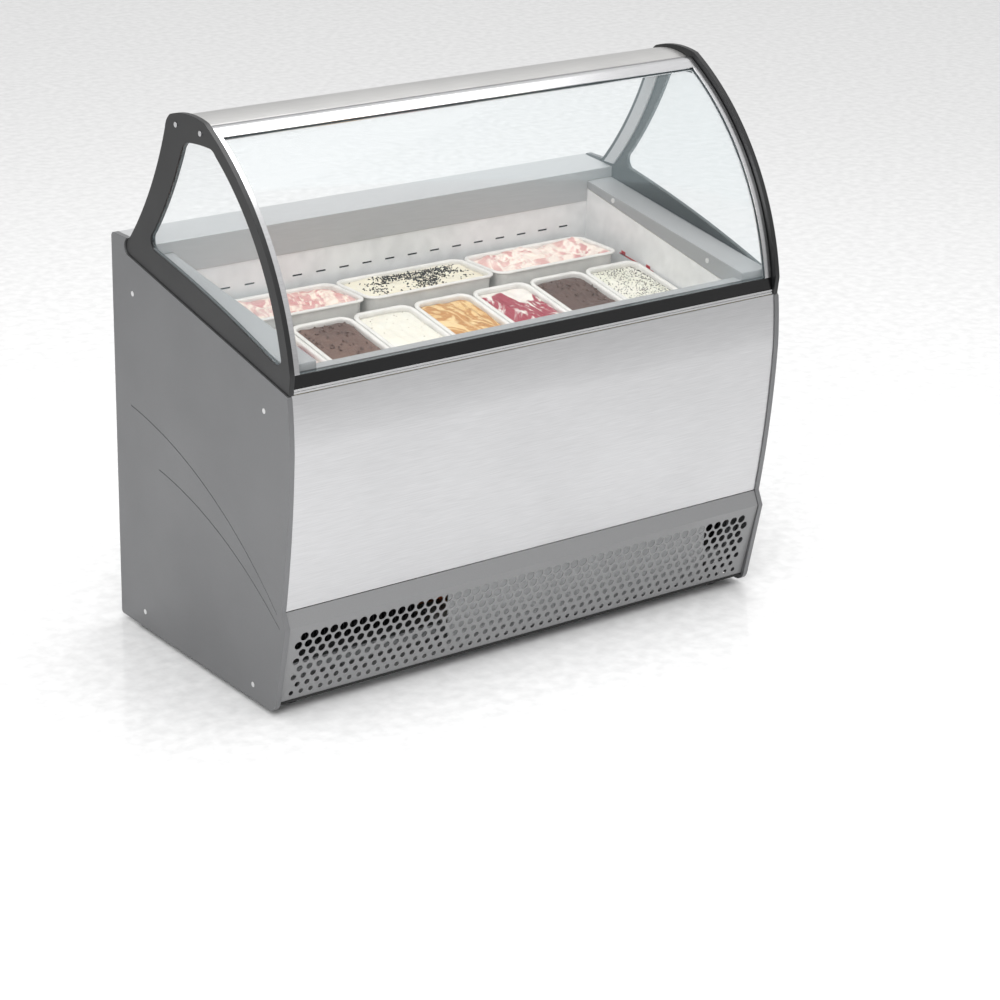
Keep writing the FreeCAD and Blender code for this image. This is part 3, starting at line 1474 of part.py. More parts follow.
def compressor():
    name = "compressor"
    foot = "tray_top + mount_height"
    base = f"{foot} + compressor_foot_wall"
    can = new_body(f"{name}_can")
    ring = new_sketch(can, f"{name}_ring", "XY_Plane", base)
    add_circle(ring, "compressor_x", "compressor_y", "compressor_radius")
    pad(can, f"{name}_pad", ring, "compressor_height")
    top = value(f"{base} + compressor_height")
    round_edges(can, f"{name}_dome", "compressor_radius*0.45",
                lambda edge: edge.BoundBox.ZMin > top - 1)
    half = "compressor_foot_half"
    plate = box(f"{name}_foot", (f"compressor_x - {half}", f"compressor_x + {half}"),
                (f"compressor_y - {half}", f"compressor_y + {half}"), (foot, base))
    parts = [can, plate]
    for number, (a, b) in enumerate(((-1, -1), (1, -1), (-1, 1), (1, 1)), 1):
        parts.append(cylinder(f"{name}_mount_{number}", "z", "mount_radius", "mount_height",
                              f"compressor_x + {a}*({half} - mount_radius - 4)",
                              f"compressor_y + {b}*({half} - mount_radius - 4)", "tray_top"))
    for tag, shift in (("suction", "0"), ("discharge", "-40")):
        parts.append(cylinder(f"{name}_{tag}", "z", "pipe_radius + 1", "20",
                              f"compressor_x + {shift}", "compressor_y",
                              f"{base} + compressor_height - 5"))
    piece(fuse(name, *parts))


def condenser_coil():
    name = "condenser"
    x0 = "-condenser_x - condenser_width/2"
    x1 = "-condenser_x + condenser_width/2"
    ys = ("condenser_front", "condenser_rear")
    top = "deck_top + condenser_height"
    parts = [
        box(f"{name}_end_left", (x0, f"{x0} + condenser_end_wall"), ys, ("deck_top", top)),
        box(f"{name}_end_right", (f"{x1} - condenser_end_wall", x1), ys, ("deck_top", top)),
        box(f"{name}_head", (x0, x1), ys, (f"{top} - condenser_end_wall", top)),
        box(f"{name}_foot", (x0, x1), ys, ("deck_top", "deck_top + condenser_end_wall")),
    ]
    fins = []
    for number in range(1, 34):
        start = f"{x0} + fin_pitch*{number} + fin_pitch/2"
        fins.append(box(f"{name}_fin_{number}", (start, f"{start} + fin_wall"),
                        ("condenser_front + 2", "condenser_rear - 2"),
                        ("deck_top + 1", f"{top} - 1")))
    for number in range(6):
        parts.append(cylinder(f"{name}_tube_{number + 1}", "x", "condenser_tube_radius",
                              "condenser_width - 1", f"{x0} + 0.5",
                              "(condenser_front + condenser_rear)/2",
                              f"deck_top + condenser_height*({number} + 0.5)/6"))
    piece(fuse("condenser_coil", *parts, *fins))


def fan():
    name = "fan_shroud"
    x0 = "-condenser_x - condenser_width/2"
    x1 = "-condenser_x + condenser_width/2"
    centre = ("-condenser_x", "fan_z")
    opening = "fan_radius + fan_tip_gap"
    plate = box(f"{name}_plate", (x0, x1), ("shroud_front", "shroud_front + shroud_wall"),
                ("deck_top", "deck_top + condenser_height"))
    ring = cylinder(f"{name}_ring", "y", f"{opening} + shroud_wall", "shroud_ring_depth",
                    centre[0], "shroud_front", centre[1])
    solid = fuse(f"{name}_solid", plate, ring)
    bore = cylinder(f"{name}_bore", "y", opening, "shroud_ring_depth + 2",
                    centre[0], "shroud_front - 1", centre[1])
    frame = cut(f"{name}_frame", solid, bore)
    motor = cylinder(f"{name}_motor", "y", "motor_radius", "motor_depth", centre[0],
                     "motor_front", centre[1])
    shaft = cylinder(f"{name}_shaft", "y", "fan_shaft_radius", "motor_front - fan_y",
                     centre[0], "fan_y + 1", centre[1])
    arms = [
        box(f"{name}_arm_across", (f"-condenser_x - {opening} - 1", f"-condenser_x + {opening} + 1"),
            ("motor_front", "motor_front + motor_arm_wall"),
            ("fan_z - motor_arm/2", "fan_z + motor_arm/2")),
        box(f"{name}_arm_up", ("-condenser_x - motor_arm/2", "-condenser_x + motor_arm/2"),
            ("motor_front", "motor_front + motor_arm_wall"),
            (f"fan_z - {opening} - 1", f"fan_z + {opening} + 1")),
    ]
    piece(fuse(name, frame, motor, shaft, *arms))
    hub = cylinder("fan_hub", "y", "fan_hub_radius", "fan_hub_depth", centre[0], "fan_y", centre[1])
    blades = []
    for number in range(5):
        blade = new_body(f"fan_vane_{number + 1}")
        outline = new_sketch(blade, f"fan_vane_{number + 1}_line", "XY_Plane", "fan_hub_radius/2")
        add_loop(outline, [
            ("-fan_blade_chord/2", "-fan_blade_wall/2"),
            ("fan_blade_chord/2", "-fan_blade_wall/2"),
            ("fan_blade_chord/2", "fan_blade_wall/2"),
            ("-fan_blade_chord/2", "fan_blade_wall/2"),
        ])
        pad(blade, f"fan_vane_{number + 1}_pad", outline,
            "sqrt(fan_radius^2 - (fan_blade_chord/2)^2) - fan_hub_radius/2")
        turn = Rotation(Vector(0, 1, 0), number*72).multiply(
            Rotation(Vector(0, 0, 1), value("fan_blade_pitch")))
        put(blade, centre[0], "fan_y + fan_hub_depth/2", centre[1], turn)
        blades.append(blade)
    solid = fuse("fan_solid", hub, *blades)
    hole = cylinder("fan_bore", "y", "fan_shaft_radius + rod_clearance", "motor_front - fan_y + 2",
                    centre[0], "fan_y - 1", centre[1])
    piece(cut("fan_blade", solid, hole))


def refrigerant_pipes():
    name = "pipe"
    comp_top = "tray_top + mount_height + compressor_foot_wall + compressor_height + 15"
    stub_foot = "slab_foot - coil_stub_drop"
    cond_top = "deck_top + condenser_height"
    cond_y = "(condenser_front + condenser_rear)/2"
    cond_right = "-condenser_x + condenser_width/2"
    drier_z = "tray_top + drier_radius + 10"
    drier_x = f"{cond_right} + 80"
    runs = [
        ("discharge", [
            ("compressor_x - 40", "compressor_y", comp_top),
            ("compressor_x - 40", "compressor_y", f"{cond_top} + 50"),
            (f"{cond_right} - 40", "compressor_y", f"{cond_top} + 50"),
            (f"{cond_right} - 40", cond_y, f"{cond_top} + 50"),
            (f"{cond_right} - 40", cond_y, cond_top),
        ]),
        ("liquid", [
            (cond_right, cond_y, drier_z),
            (drier_x, cond_y, drier_z),
        ]),
        ("feed", [
            (f"{drier_x} + drier_length", cond_y, drier_z),
            ("-20", cond_y, drier_z),
            ("-20", cond_y, f"{stub_foot} - 30"),
            ("-20", "coil_rear", f"{stub_foot} - 30"),
            ("-coil_outlet_x", "coil_rear", f"{stub_foot} - 30"),
            ("-coil_outlet_x", "coil_rear", stub_foot),
        ]),
        ("suction", [
            ("coil_outlet_x", "coil_rear", stub_foot),
            ("coil_outlet_x", "coil_rear", f"{comp_top} + 40"),
            ("compressor_x", "compressor_y", f"{comp_top} + 40"),
            ("compressor_x", "compressor_y", comp_top),
        ]),
    ]
    items = []
    for tag, points in runs:
        items.append(tube_run(f"{name}_{tag}", "pipe_radius", "pipe_bend", points))
    piece(group("refrigerant_pipes", items))
    shell = cylinder("drier_shell", "x", "drier_radius", "drier_length", drier_x, cond_y, drier_z)
    saddle = box("drier_saddle", (f"{drier_x} + 40", f"{drier_x} + 70"),
                 (f"{cond_y} - 10", f"{cond_y} + 10"), ("tray_top", drier_z))
    piece(fuse("filter_drier", shell, saddle))


def electrical_box():
    case = new_body("electrical_box")
    base = new_sketch(case, "electrical_box_base", "XY_Plane", "tray_top")
    add_loop(base, [
        ("box_x - box_width/2", "box_y - box_depth/2"),
        ("box_x + box_width/2", "box_y - box_depth/2"),
        ("box_x + box_width/2", "box_y + box_depth/2"),
        ("box_x - box_width/2", "box_y + box_depth/2"),
    ])
    pad(case, "electrical_box_pad", base, "box_height")
    round_edges(case, "electrical_box_round", "box_round", upright)
    piece(case)


for side, sign in SIDES:
    side_panel(side, sign)
    frame_bracket(side, sign)
screw_caps()
front_panel()
plinth_grille()
front_trim()
glass_seat_strip()
front_sill()
side_sills()
rear_ledge()
inner_liner()
insulation_slabs()
evaporator_coil()
drain()
pans()
pan_rack()
bracket_screws()
cable_covers()
side_glasses()
canopy()
front_glass()
base_frame()
castors()
rear_panel()
controller()
power_inlet()
condensing_unit_tray()
compressor()
condenser_coil()
fan()
refrigerant_pipes()
electrical_box()

doc.recompute()
for item in doc.Objects:
    assert not {"Invalid", "Error"} & set(item.State), item.Label
for label, item in PIECES.items():
    shape = item.Shape
    assert not shape.isNull() and shape.isValid() and shape.Solids, label
    shape.exportStep(f"parts/{label}.step")
print(len(PIECES), "parts")
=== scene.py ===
"""The look of an ice cream dipping cabinet, built round its CAD frame.

Metres, in the frame's axes: +X along the cabinet, the customer's side faces -Y, +Z is up.
"""

from __future__ import annotations

import json
import logging
import math
from dataclasses import dataclass, field
from enum import Enum
from functools import partial
from typing import Callable, ClassVar, Iterable, Sequence

import bmesh
import bpy
from mathutils import Matrix, Vector, noise

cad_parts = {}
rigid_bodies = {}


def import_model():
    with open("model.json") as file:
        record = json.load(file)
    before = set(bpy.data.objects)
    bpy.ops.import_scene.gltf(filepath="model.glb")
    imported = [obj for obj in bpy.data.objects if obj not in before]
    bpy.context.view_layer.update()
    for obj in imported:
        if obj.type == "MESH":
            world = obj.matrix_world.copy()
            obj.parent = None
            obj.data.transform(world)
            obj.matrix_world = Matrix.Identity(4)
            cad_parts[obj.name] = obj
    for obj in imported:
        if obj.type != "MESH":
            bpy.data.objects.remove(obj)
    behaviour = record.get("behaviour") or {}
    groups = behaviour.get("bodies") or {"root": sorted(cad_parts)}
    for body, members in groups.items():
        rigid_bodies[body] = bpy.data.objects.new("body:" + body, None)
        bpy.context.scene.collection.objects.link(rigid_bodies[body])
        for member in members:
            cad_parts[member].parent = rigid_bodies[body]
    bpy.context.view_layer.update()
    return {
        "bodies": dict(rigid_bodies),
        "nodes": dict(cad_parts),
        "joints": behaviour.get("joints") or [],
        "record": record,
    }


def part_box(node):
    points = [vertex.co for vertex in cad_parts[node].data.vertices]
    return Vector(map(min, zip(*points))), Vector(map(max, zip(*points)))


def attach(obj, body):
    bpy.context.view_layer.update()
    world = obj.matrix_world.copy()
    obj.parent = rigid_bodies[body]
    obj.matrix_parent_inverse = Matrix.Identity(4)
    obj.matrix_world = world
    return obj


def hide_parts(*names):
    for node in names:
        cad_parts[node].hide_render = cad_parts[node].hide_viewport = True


LOG = logging.getLogger("dipping_cabinet")

CABINET = "cabinet"

Colour = tuple[float, float, float]
Ring = list[Vector]
Span = tuple[float, float]


class Grain(Enum):
    """How a surface is finished at the scale of a scratch."""

    SMOOTH = "smooth"
    POWDER = "powder"
    BRUSHED = "brushed"
    CAST = "cast"
    CLEAR = "clear"


# ---------------------------------------------------------------- finishes
@dataclass(frozen=True)
class Finish:
    """A plain procedural finish.

    Args:
        colour: linear base colour.
        metallic: share of metal.
        roughness: mean roughness.
        grain: the fine relief laid over it.
        coat: clear coat weight.
        alpha: share of light that the surface stops.
        edge: radius of the softened shading along sharp edges, in metres.
        depth: how strongly the fine relief shows.
    """

    colour: Colour
    metallic: float = 0.0
    roughness: float = 0.5
    grain: Grain = Grain.SMOOTH
    coat: float = 0.0
    alpha: float = 1.0
    edge: float = 0.0008
    depth: float = 0.12


FINISHES: dict[str, Finish] = {
    "panel_grey": Finish((0.215, 0.217, 0.222), 0.75, 0.42, Grain.POWDER, edge=0.0015,
                         depth=0.1),
    "front_silver": Finish((0.6, 0.6, 0.608), 1.0, 0.33, Grain.BRUSHED, depth=0.09),
    "plinth_grey": Finish((0.27, 0.271, 0.275), 0.3, 0.42, Grain.POWDER),
    "bracket_charcoal": Finish((0.0075, 0.0078, 0.0085), 0.0, 0.42, Grain.POWDER, 0.08,
                               edge=0.0015),
    "strip_black": Finish((0.0022, 0.0022, 0.0026), 0.0, 0.2, Grain.SMOOTH, 0.1, edge=0.0012),
    "trim_aluminium": Finish((0.5, 0.5, 0.505), 1.0, 0.26, Grain.BRUSHED),
    "steel_polished": Finish((0.66, 0.66, 0.67), 1.0, 0.2, Grain.BRUSHED, depth=0.04),
    "clear_glass": Finish((0.72, 0.86, 0.9), 0.0, 0.02, Grain.CLEAR, alpha=0.014),
    "canopy_grey": Finish((0.56, 0.555, 0.545), 0.85, 0.34, Grain.BRUSHED, depth=0.05),
    "lamp_diffuser": Finish((0.86, 0.86, 0.84), 0.0, 0.5),
    "sill_light": Finish((0.33, 0.334, 0.338), 0.0, 0.42, Grain.POWDER, edge=0.002),
    "ledge_light": Finish((0.47, 0.475, 0.48), 0.3, 0.4, Grain.BRUSHED, edge=0.002, depth=0.05),
    "liner_white": Finish((0.78, 0.782, 0.78), 0.0, 0.34, Grain.SMOOTH),
    "foam": Finish((0.72, 0.62, 0.36), 0.0, 0.85, Grain.CAST, depth=0.5),
    "copper": Finish((0.72, 0.33, 0.19), 1.0, 0.3, Grain.SMOOTH),
    "rack_steel": Finish((0.6, 0.6, 0.61), 1.0, 0.3, Grain.BRUSHED),
    "drain_plastic": Finish((0.7, 0.7, 0.7), 0.0, 0.45),
    "plug_rubber": Finish((0.03, 0.03, 0.03), 0.0, 0.7, Grain.CAST),
    "frame_galvanised": Finish((0.42, 0.43, 0.44), 0.85, 0.45, Grain.CAST, depth=0.06),
    "castor_zinc": Finish((0.55, 0.56, 0.57), 0.9, 0.33, Grain.CAST, depth=0.05),
    "castor_tyre": Finish((0.06, 0.06, 0.065), 0.0, 0.6, Grain.POWDER),
    "tray_galvanised": Finish((0.72, 0.73, 0.74), 0.5, 0.5, Grain.CAST, depth=0.05),
    "compressor_black": Finish((0.012, 0.012, 0.013), 0.0, 0.3, Grain.CAST, 0.3),
    "condenser_fins": Finish((0.09, 0.09, 0.095), 0.6, 0.55, Grain.BRUSHED),
    "shroud_black": Finish((0.012, 0.012, 0.012), 0.0, 0.5, Grain.POWDER),
    "fan_plastic": Finish((0.05, 0.05, 0.052), 0.0, 0.45, Grain.SMOOTH),
    "box_grey": Finish((0.4, 0.4, 0.41), 0.0, 0.5, Grain.POWDER, edge=0.002),
    "control_black": Finish((0.014, 0.014, 0.015), 0.0, 0.38, Grain.POWDER, edge=0.0012),
    "button_grey": Finish((0.34, 0.34, 0.36), 0.0, 0.3, edge=0.0012),
    "rocker_green": Finish((0.01, 0.24, 0.05), 0.0, 0.22, coat=0.3, edge=0.0015),
    "inlet_black": Finish((0.014, 0.014, 0.015), 0.0, 0.42, Grain.POWDER),
    "cap_plastic": Finish((0.66, 0.66, 0.66), 0.0, 0.4),
    "screw_zinc": Finish((0.62, 0.62, 0.63), 1.0, 0.25),
    "cover_grey": Finish((0.5, 0.5, 0.51), 0.1, 0.42, Grain.POWDER, edge=0.0015),
    "pan_white": Finish((0.74, 0.725, 0.69), 0.0, 0.32, coat=0.15, edge=0.0015),
    "limit_red": Finish((0.55, 0.02, 0.03), 0.0, 0.4),
    "hub_grey": Finish((0.45, 0.45, 0.46), 0.0, 0.4, Grain.POWDER),
    "digit_red": Finish((0.9, 0.02, 0.01), 0.0, 0.4),
    # Near-black for painted shade: the insides of the air slots and the shadow under the plinth.
    "painted_shade_black": Finish((0.004, 0.004, 0.004), 0.0, 0.5),
    "floor": Finish((0.9, 0.9, 0.9), 0.0, 0.12, depth=0.0),
}

# Each grain's features in a metre, its finer layers and its stretch along the axes.
GRAIN_NOISE: dict[Grain, tuple[float, float, Sequence[float]]] = {
    Grain.BRUSHED: (900, 2, (0.02, 1, 1)),
    Grain.POWDER: (1400, 2, (1, 1, 1)),
    Grain.CAST: (260, 4, (1, 1, 1)),
    Grain.SMOOTH: (30, 2, (1, 1, 1)),
}
RELIEF_DEPTH = 0.0004
SMOOTH_DEPTH = 0.02
WEAR_SCALE = 4
WEAR_DETAIL = 3
ROUGHNESS_SWING = (0.86, 1.14)
TONE_SWING = (0.93, 1.06)
GLASS_EDGE_BLEND = 0.35
GLASS_EDGE_GAIN = 9


class Shader:
    """A material's node tree, built a node at a time."""

    def __init__(self, name: str) -> None:
        """Starts a material with one principled surface.

        Args:
            name: the material's name.
        """
        self.material = bpy.data.materials.new(name)
        self.material.use_nodes = True
        self.tree = self.material.node_tree
        self.surface = self.tree.nodes["Principled BSDF"]

    def node(self, kind: str, **settings: object) -> bpy.types.Node:
        """Adds a node.

        Args:
            kind: the node's type name without its ShaderNode prefix.
            settings: attributes to set on it.

        Returns:
            The new node.
        """
        made = self.tree.nodes.new("ShaderNode" + kind)
        for key, setting in settings.items():
            setattr(made, key, setting)
        return made

    def join(self, source: bpy.types.NodeSocket, target: bpy.types.NodeSocket) -> None:
        """Links one socket to another.

        Args:
            source: the socket that gives the value.
            target: the socket that takes it.
        """
        self.tree.links.new(source, target)

    def coords(self, scale: Sequence[float] = (1, 1, 1)) -> bpy.types.NodeSocket:
        """Object coordinates, stretched along the axes.

        Args:
            scale: the factor along each axis.

        Returns:
            The socket that gives the coordinates.
        """
        place = self.node("TexCoord")
        mapping = self.node("Mapping")
        mapping.inputs["Scale"].default_value = scale
        self.join(place.outputs["Object"], mapping.inputs["Vector"])
        return mapping.outputs["Vector"]

    def noise(self, scale: float, detail: float = 3, stretch: Sequence[float] = (1, 1, 1),
              warp: float = 0.0) -> bpy.types.NodeSocket:
        """A noise value over the object.

        Args:
            scale: how many features there are in a metre.
            detail: how many finer layers are added.
            stretch: the factor on the coordinates along each axis.
            warp: how far the noise is pulled about.

        Returns:
            The socket that gives the value.
        """
        texture = self.node("TexNoise")
        texture.inputs["Scale"].default_value = scale
        texture.inputs["Detail"].default_value = detail
        texture.inputs["Distortion"].default_value = warp
        self.join(self.coords(stretch), texture.inputs["Vector"])
        return texture.outputs["Fac"]

    def spread(self, value: bpy.types.NodeSocket, low: float, high: float) -> bpy.types.NodeSocket:
        """Maps a noise value's middle range onto another range.

        Args:
            value: the socket with the noise value.
            low: the result at its low end.
            high: the result at its high end.

        Returns:
            The socket that gives the result.
        """
        mapped = self.node("MapRange")
        mapped.inputs["From Min"].default_value = 0.3
        mapped.inputs["From Max"].default_value = 0.7
        mapped.inputs["To Min"].default_value = low
        mapped.inputs["To Max"].default_value = high
        self.join(value, mapped.inputs["Value"])
        return mapped.outputs["Result"]

    def ramp(self, value: bpy.types.NodeSocket,
             stops: Iterable[tuple[float, Colour]]) -> bpy.types.NodeSocket:
        """Colours a value.

        Args:
            value: the socket with the value.
            stops: places from 0 to 1 with their colours.

        Returns:
            The socket that gives the colour.
        """
        ramp = self.node("ValToRGB")
        bands = ramp.color_ramp
        for number, (place, colour) in enumerate(stops):
            if number < 2:
                stop = bands.elements[number]
                stop.position = place
            else:
                stop = bands.elements.new(place)
            stop.color = (*colour, 1)
        self.join(value, ramp.inputs["Fac"])
        return ramp.outputs["Color"]

    def relief(self, height: bpy.types.NodeSocket, strength: float, distance: float,
               edge: float = 0.0) -> None:
        """Lays a bump, over softened edges, on the surface.

        Args:
            height: the socket with the relief's height.
            strength: the bump's strength.
            distance: the bump's depth in metres.
            edge: radius of the softened edges in metres.
        """
        bump = self.node("Bump")
        bump.inputs["Strength"].default_value = strength
        bump.inputs["Distance"].default_value = distance
        self.join(height, bump.inputs["Height"])
        if edge:
            bevel = self.node("Bevel", samples=4)
            bevel.inputs["Radius"].default_value = edge
            self.join(bevel.outputs["Normal"], bump.inputs["Normal"])
        self.join(bump.outputs["Normal"], self.surface.inputs["Normal"])


class Palette:
    """Makes each finish's material once."""

    def __init__(self) -> None:
        """Starts with no materials."""
        self.made: dict[str, bpy.types.Material] = {}

    def get(self, name: str) -> bpy.types.Material:
        """The material of a plain finish.

        Args:
            name: a key of FINISHES.

        Returns:
            The material.
        """
        if name not in self.made:
            self.made[name] = self._plain(name, FINISHES[name])
        return self.made[name]

    @staticmethod
    def _plain(name: str, finish: Finish) -> bpy.types.Material:
        """Builds a plain finish.

        Args:
            name: the material's name.
            finish: what it looks like.

        Returns:
            The material.
        """
        shader = Shader(name)
        surface = shader.surface.inputs
        surface["Base Color"].default_value = (*finish.colour, 1)
        surface["Metallic"].default_value = finish.metallic
        surface["Roughness"].default_value = finish.roughness
        surface["Coat Weight"].default_value = finish.coat
        surface["Alpha"].default_value = finish.alpha
        if finish.grain is Grain.CLEAR:
            facing = shader.node("LayerWeight")
            facing.inputs["Blend"].default_value = GLASS_EDGE_BLEND
            body = shader.node("MapRange")
            body.inputs["To Min"].default_value = finish.alpha
            body.inputs["To Max"].default_value = finish.alpha * GLASS_EDGE_GAIN
            shader.join(facing.outputs["Fresnel"], body.inputs["Value"])
            shader.join(body.outputs["Result"], surface["Alpha"])
            return shader.material
        fine = shader.noise(*GRAIN_NOISE[finish.grain])
        broad = shader.noise(WEAR_SCALE, WEAR_DETAIL)
        rough = shader.spread(broad, *(finish.roughness * share for share in ROUGHNESS_SWING))
        shader.join(rough, surface["Roughness"])
        tones = [tuple(min(1.0, c * share) for c in finish.colour) for share in TONE_SWING]
        mixed = shader.ramp(fine, ((0.3, tones[0]), (0.7, tones[1])))
        shader.join(mixed, surface["Base Color"])
        if finish.depth:
            depth = finish.depth if finish.grain is not Grain.SMOOTH else SMOOTH_DEPTH
            shader.relief(fine, depth, RELIEF_DEPTH, finish.edge)
        return shader.material


# ---------------------------------------------------------------- mesh tools
def mesh_object(name: str, bm: bmesh.types.BMesh, material: bpy.types.Material,
                smooth_deg: float = 35.0) -> bpy.types.Object:
    """Turns a bmesh into an object with smooth shading and sharp edges.

    Args:
        name: the object's name.
        bm: the mesh, which is freed.
        material: its material.
        smooth_deg: edges that turn more than this stay sharp.

    Returns:
        The object, linked to the scene.
    """
    mesh = bpy.data.meshes.new(name)
    bm.normal_update()
    bm.to_mesh(mesh)
    bm.free()
    mesh.materials.append(material)
    mesh.polygons.foreach_set("use_smooth", [True] * len(mesh.polygons))
    mesh.set_sharp_from_angle(angle=math.radians(smooth_deg))
    made = bpy.data.objects.new(name, mesh)
    bpy.context.scene.collection.objects.link(made)
    return made


def add_block(bm: bmesh.types.BMesh, low: Sequence[float], high: Sequence[float]) -> None:
    """Adds an axis-aligned block.

    Args:
        bm: the mesh to add to.
        low: its lowest corner.
        high: its highest corner.
    """
    middle = [(a + b) / 2 for a, b in zip(low, high)]
    size = [b - a for a, b in zip(low, high)]
    place = Matrix.Translation(middle) @ Matrix.Diagonal((*size, 1))
    bmesh.ops.create_cube(bm, size=1, matrix=place)


def add_loft(bm: bmesh.types.BMesh, rings: Sequence[Ring], cap_start: bool = True,
             cap_end: bool = True) -> list[list[bmesh.types.BMVert]]:
    """Skins closed rings of points in order.

    Args:
        bm: the mesh to add to.
        rings: rings with the same number of points.
        cap_start: whether the first ring is filled.
        cap_end: whether the last ring is filled.

    Returns:
        The vertices of each ring.
    """
    made = [[bm.verts.new(point) for point in ring] for ring in rings]
    count = len(rings[0])
    for below, above in zip(made, made[1:]):
        for index in range(count):
            after = (index + 1) % count
            bm.faces.new((below[index], below[after], above[after], above[index]))
    if cap_start:
        bm.faces.new(list(reversed(made[0])))
    if cap_end:
        bm.faces.new(made[-1])
    return made


def rounded_ring(half_x: float, half_y: float, radius: float, z: float, corner: int = 8,
                 sides: int = 1) -> Ring:
    """The points of a rectangle with rounded corners.

    Args:
        half_x: half its size along X.
        half_y: half its size along Y.
        radius: its corner radius.
        z: its height.
        corner: points round each corner.
        sides: pieces along each straight side.

    Returns:
        The points, anticlockwise from above.
    """
    radius = max(1e-4, min(radius, half_x, half_y))
    points: Ring = []
    for number, (sx, sy) in enumerate(((1, 1), (-1, 1), (-1, -1), (1, -1))):
        centre = Vector((sx * (half_x - radius), sy * (half_y - radius), z))
        for step in range(corner + 1):
            turn = math.radians(90 * (number + step / corner))
            points.append(centre + radius * Vector((math.cos(turn), math.sin(turn), 0)))
    if sides == 1:
        return points
    fuller: Ring = []
    for index, point in enumerate(points):
        fuller.append(point)
        onward = points[(index + 1) % len(points)]
        if index % (corner + 1) == corner:
            fuller += [point.lerp(onward, step / sides) for step in range(1, sides)]
    return fuller


def add_lathe(bm: bmesh.types.BMesh, profile: Sequence[tuple[float, float]], place: Matrix,
              steps: int = 48) -> None:
    """Spins a closed profile about the place's own X axis.

    Args:
        bm: the mesh to add to.
        profile: (along the axis, radius) corners, radius above 0.
        place: where the spun shape goes.
        steps: faces round the axis.
    """
    rings = []
    for along, radius in profile:
        turns = (2 * math.pi * step / steps for step in range(steps))
        rings.append([place @ Vector((along, radius * math.cos(t), radius * math.sin(t)))
                      for t in turns])
    add_loft(bm, rings)


MERGE_DISTANCE = 2e-6
FLAT_DEG = 0.6
CORNER_DEG = 50
SMOOTH_DEG = 32


def softened(node: str, source: bpy.types.Object, material: bpy.types.Material,
             bevel: float) -> bpy.types.Object:
    """A copy of a CAD node with smooth shading and slightly rounded edges.

    Args:
        node: the node's name, which the copy's name starts with.
        source: the node's object.
        material: the copy's material.
        bevel: the edge radius in metres, or 0 for none.

    Returns:
        The copy.
    """
    bm = bmesh.new()
    bm.from_mesh(source.data)
    bmesh.ops.remove_doubles(bm, verts=bm.verts, dist=MERGE_DISTANCE)
    bmesh.ops.dissolve_limit(bm, angle_limit=math.radians(FLAT_DEG), verts=bm.verts,
                             edges=bm.edges)
    if bevel:
        sharp = [e for e in bm.edges
                 if len(e.link_faces) == 2 and e.calc_face_angle(0) > math.radians(CORNER_DEG)]
        bmesh.ops.bevel(bm, geom=sharp, offset=bevel, segments=2, affect="EDGES",
                        clamp_overlap=True, profile=0.5)
    made = mesh_object(f"{node}_look", bm, material, SMOOTH_DEG)
    weighting = made.modifiers.new("flat_faces", "WEIGHTED_NORMAL")
    weighting.keep_sharp = True
    weighting.weight = 100
    return flattened(made)


def flattened(piece: bpy.types.Object) -> bpy.types.Object:
    """Turns a piece's modifiers into its plain mesh.

    Args:
        piece: the piece.

    Returns:
        The same piece, without modifiers.
    """
    graph = bpy.context.evaluated_depsgraph_get()
    mesh = bpy.data.meshes.new_from_object(piece.evaluated_get(graph))
    piece.modifiers.clear()
    piece.data = mesh
    return piece


# ---------------------------------------------------------------- pans
@dataclass(frozen=True)
class PanSize:
    """The tub, in metres, with its rim at height 0 and its length along its own Y.

    Args:
        width: over the lip, across.
        length: over the lip, along.
        depth: from rim to foot.
        lip: the lip's reach.
        taper: how far each wall leans in.
        corner: the lip's corner radius.
    """

    width: float = 0.163
    length: float = 0.36
    depth: float = 0.12
    lip: float = 0.007
    taper: float = 0.007
    corner: float = 0.032


@dataclass(frozen=True)
class Topping:
    """Loose pieces scattered over a flavour.

    Args:
        colour: their colour.
        density: how many there are on a square metre where they lie thickest.
        size: their mean size in metres.
        patch: how much the scatter gathers in patches, from 0 to 1.
    """

    colour: Colour
    density: float
    size: float
    patch: float


@dataclass(frozen=True)
class Flavour:
    """How one kind of ice cream looks.

    Args:
        name: a short name.
        cream: the main colour.
        second: a broad second tone.
        ripple: the sauce's colour.
        spread: how much of the surface the sauce covers, from 0 to 1.
        swirl: how many sauce streaks there are in a metre.
        soft: how gently the sauce fades at its edges.
        rough: how rough the top is, in metres.
        grit: how grainy the surface is.
        dome: how far the middle stands above the edge, in metres.
        wet: roughness of the surface.
        topping: loose pieces on it.
    """

    name: str
    cream: Colour
    second: Colour
    ripple: Colour = (0.5, 0.03, 0.04)
    spread: float = 0.0
    swirl: float = 16.0
    soft: float = 0.035
    rough: float = 0.003
    grit: float = 0.35
    dome: float = 0.004
    wet: float = 0.45
    topping: Topping | None = None


MILK: Colour = (0.8, 0.77, 0.69)
COCOA: Colour = (0.105, 0.056, 0.042)
COCOA_PALE: Colour = (0.16, 0.09, 0.066)
PINK: Colour = (0.6, 0.28, 0.27)
BLUSH: Colour = (0.72, 0.48, 0.44)
BERRY: Colour = (0.33, 0.035, 0.06)

BLACK_CHIPS = Topping((0.01, 0.008, 0.007), 60000, 0.0068, 0.95)
FLAKES = Topping((0.02, 0.015, 0.01), 30000, 0.0042, 0.45)
SPECKS = Topping((0.2, 0.13, 0.07), 1500, 0.0036, 0.2)
CRUMBS = Topping((0.11, 0.06, 0.045), 3000, 0.011, 0.5)

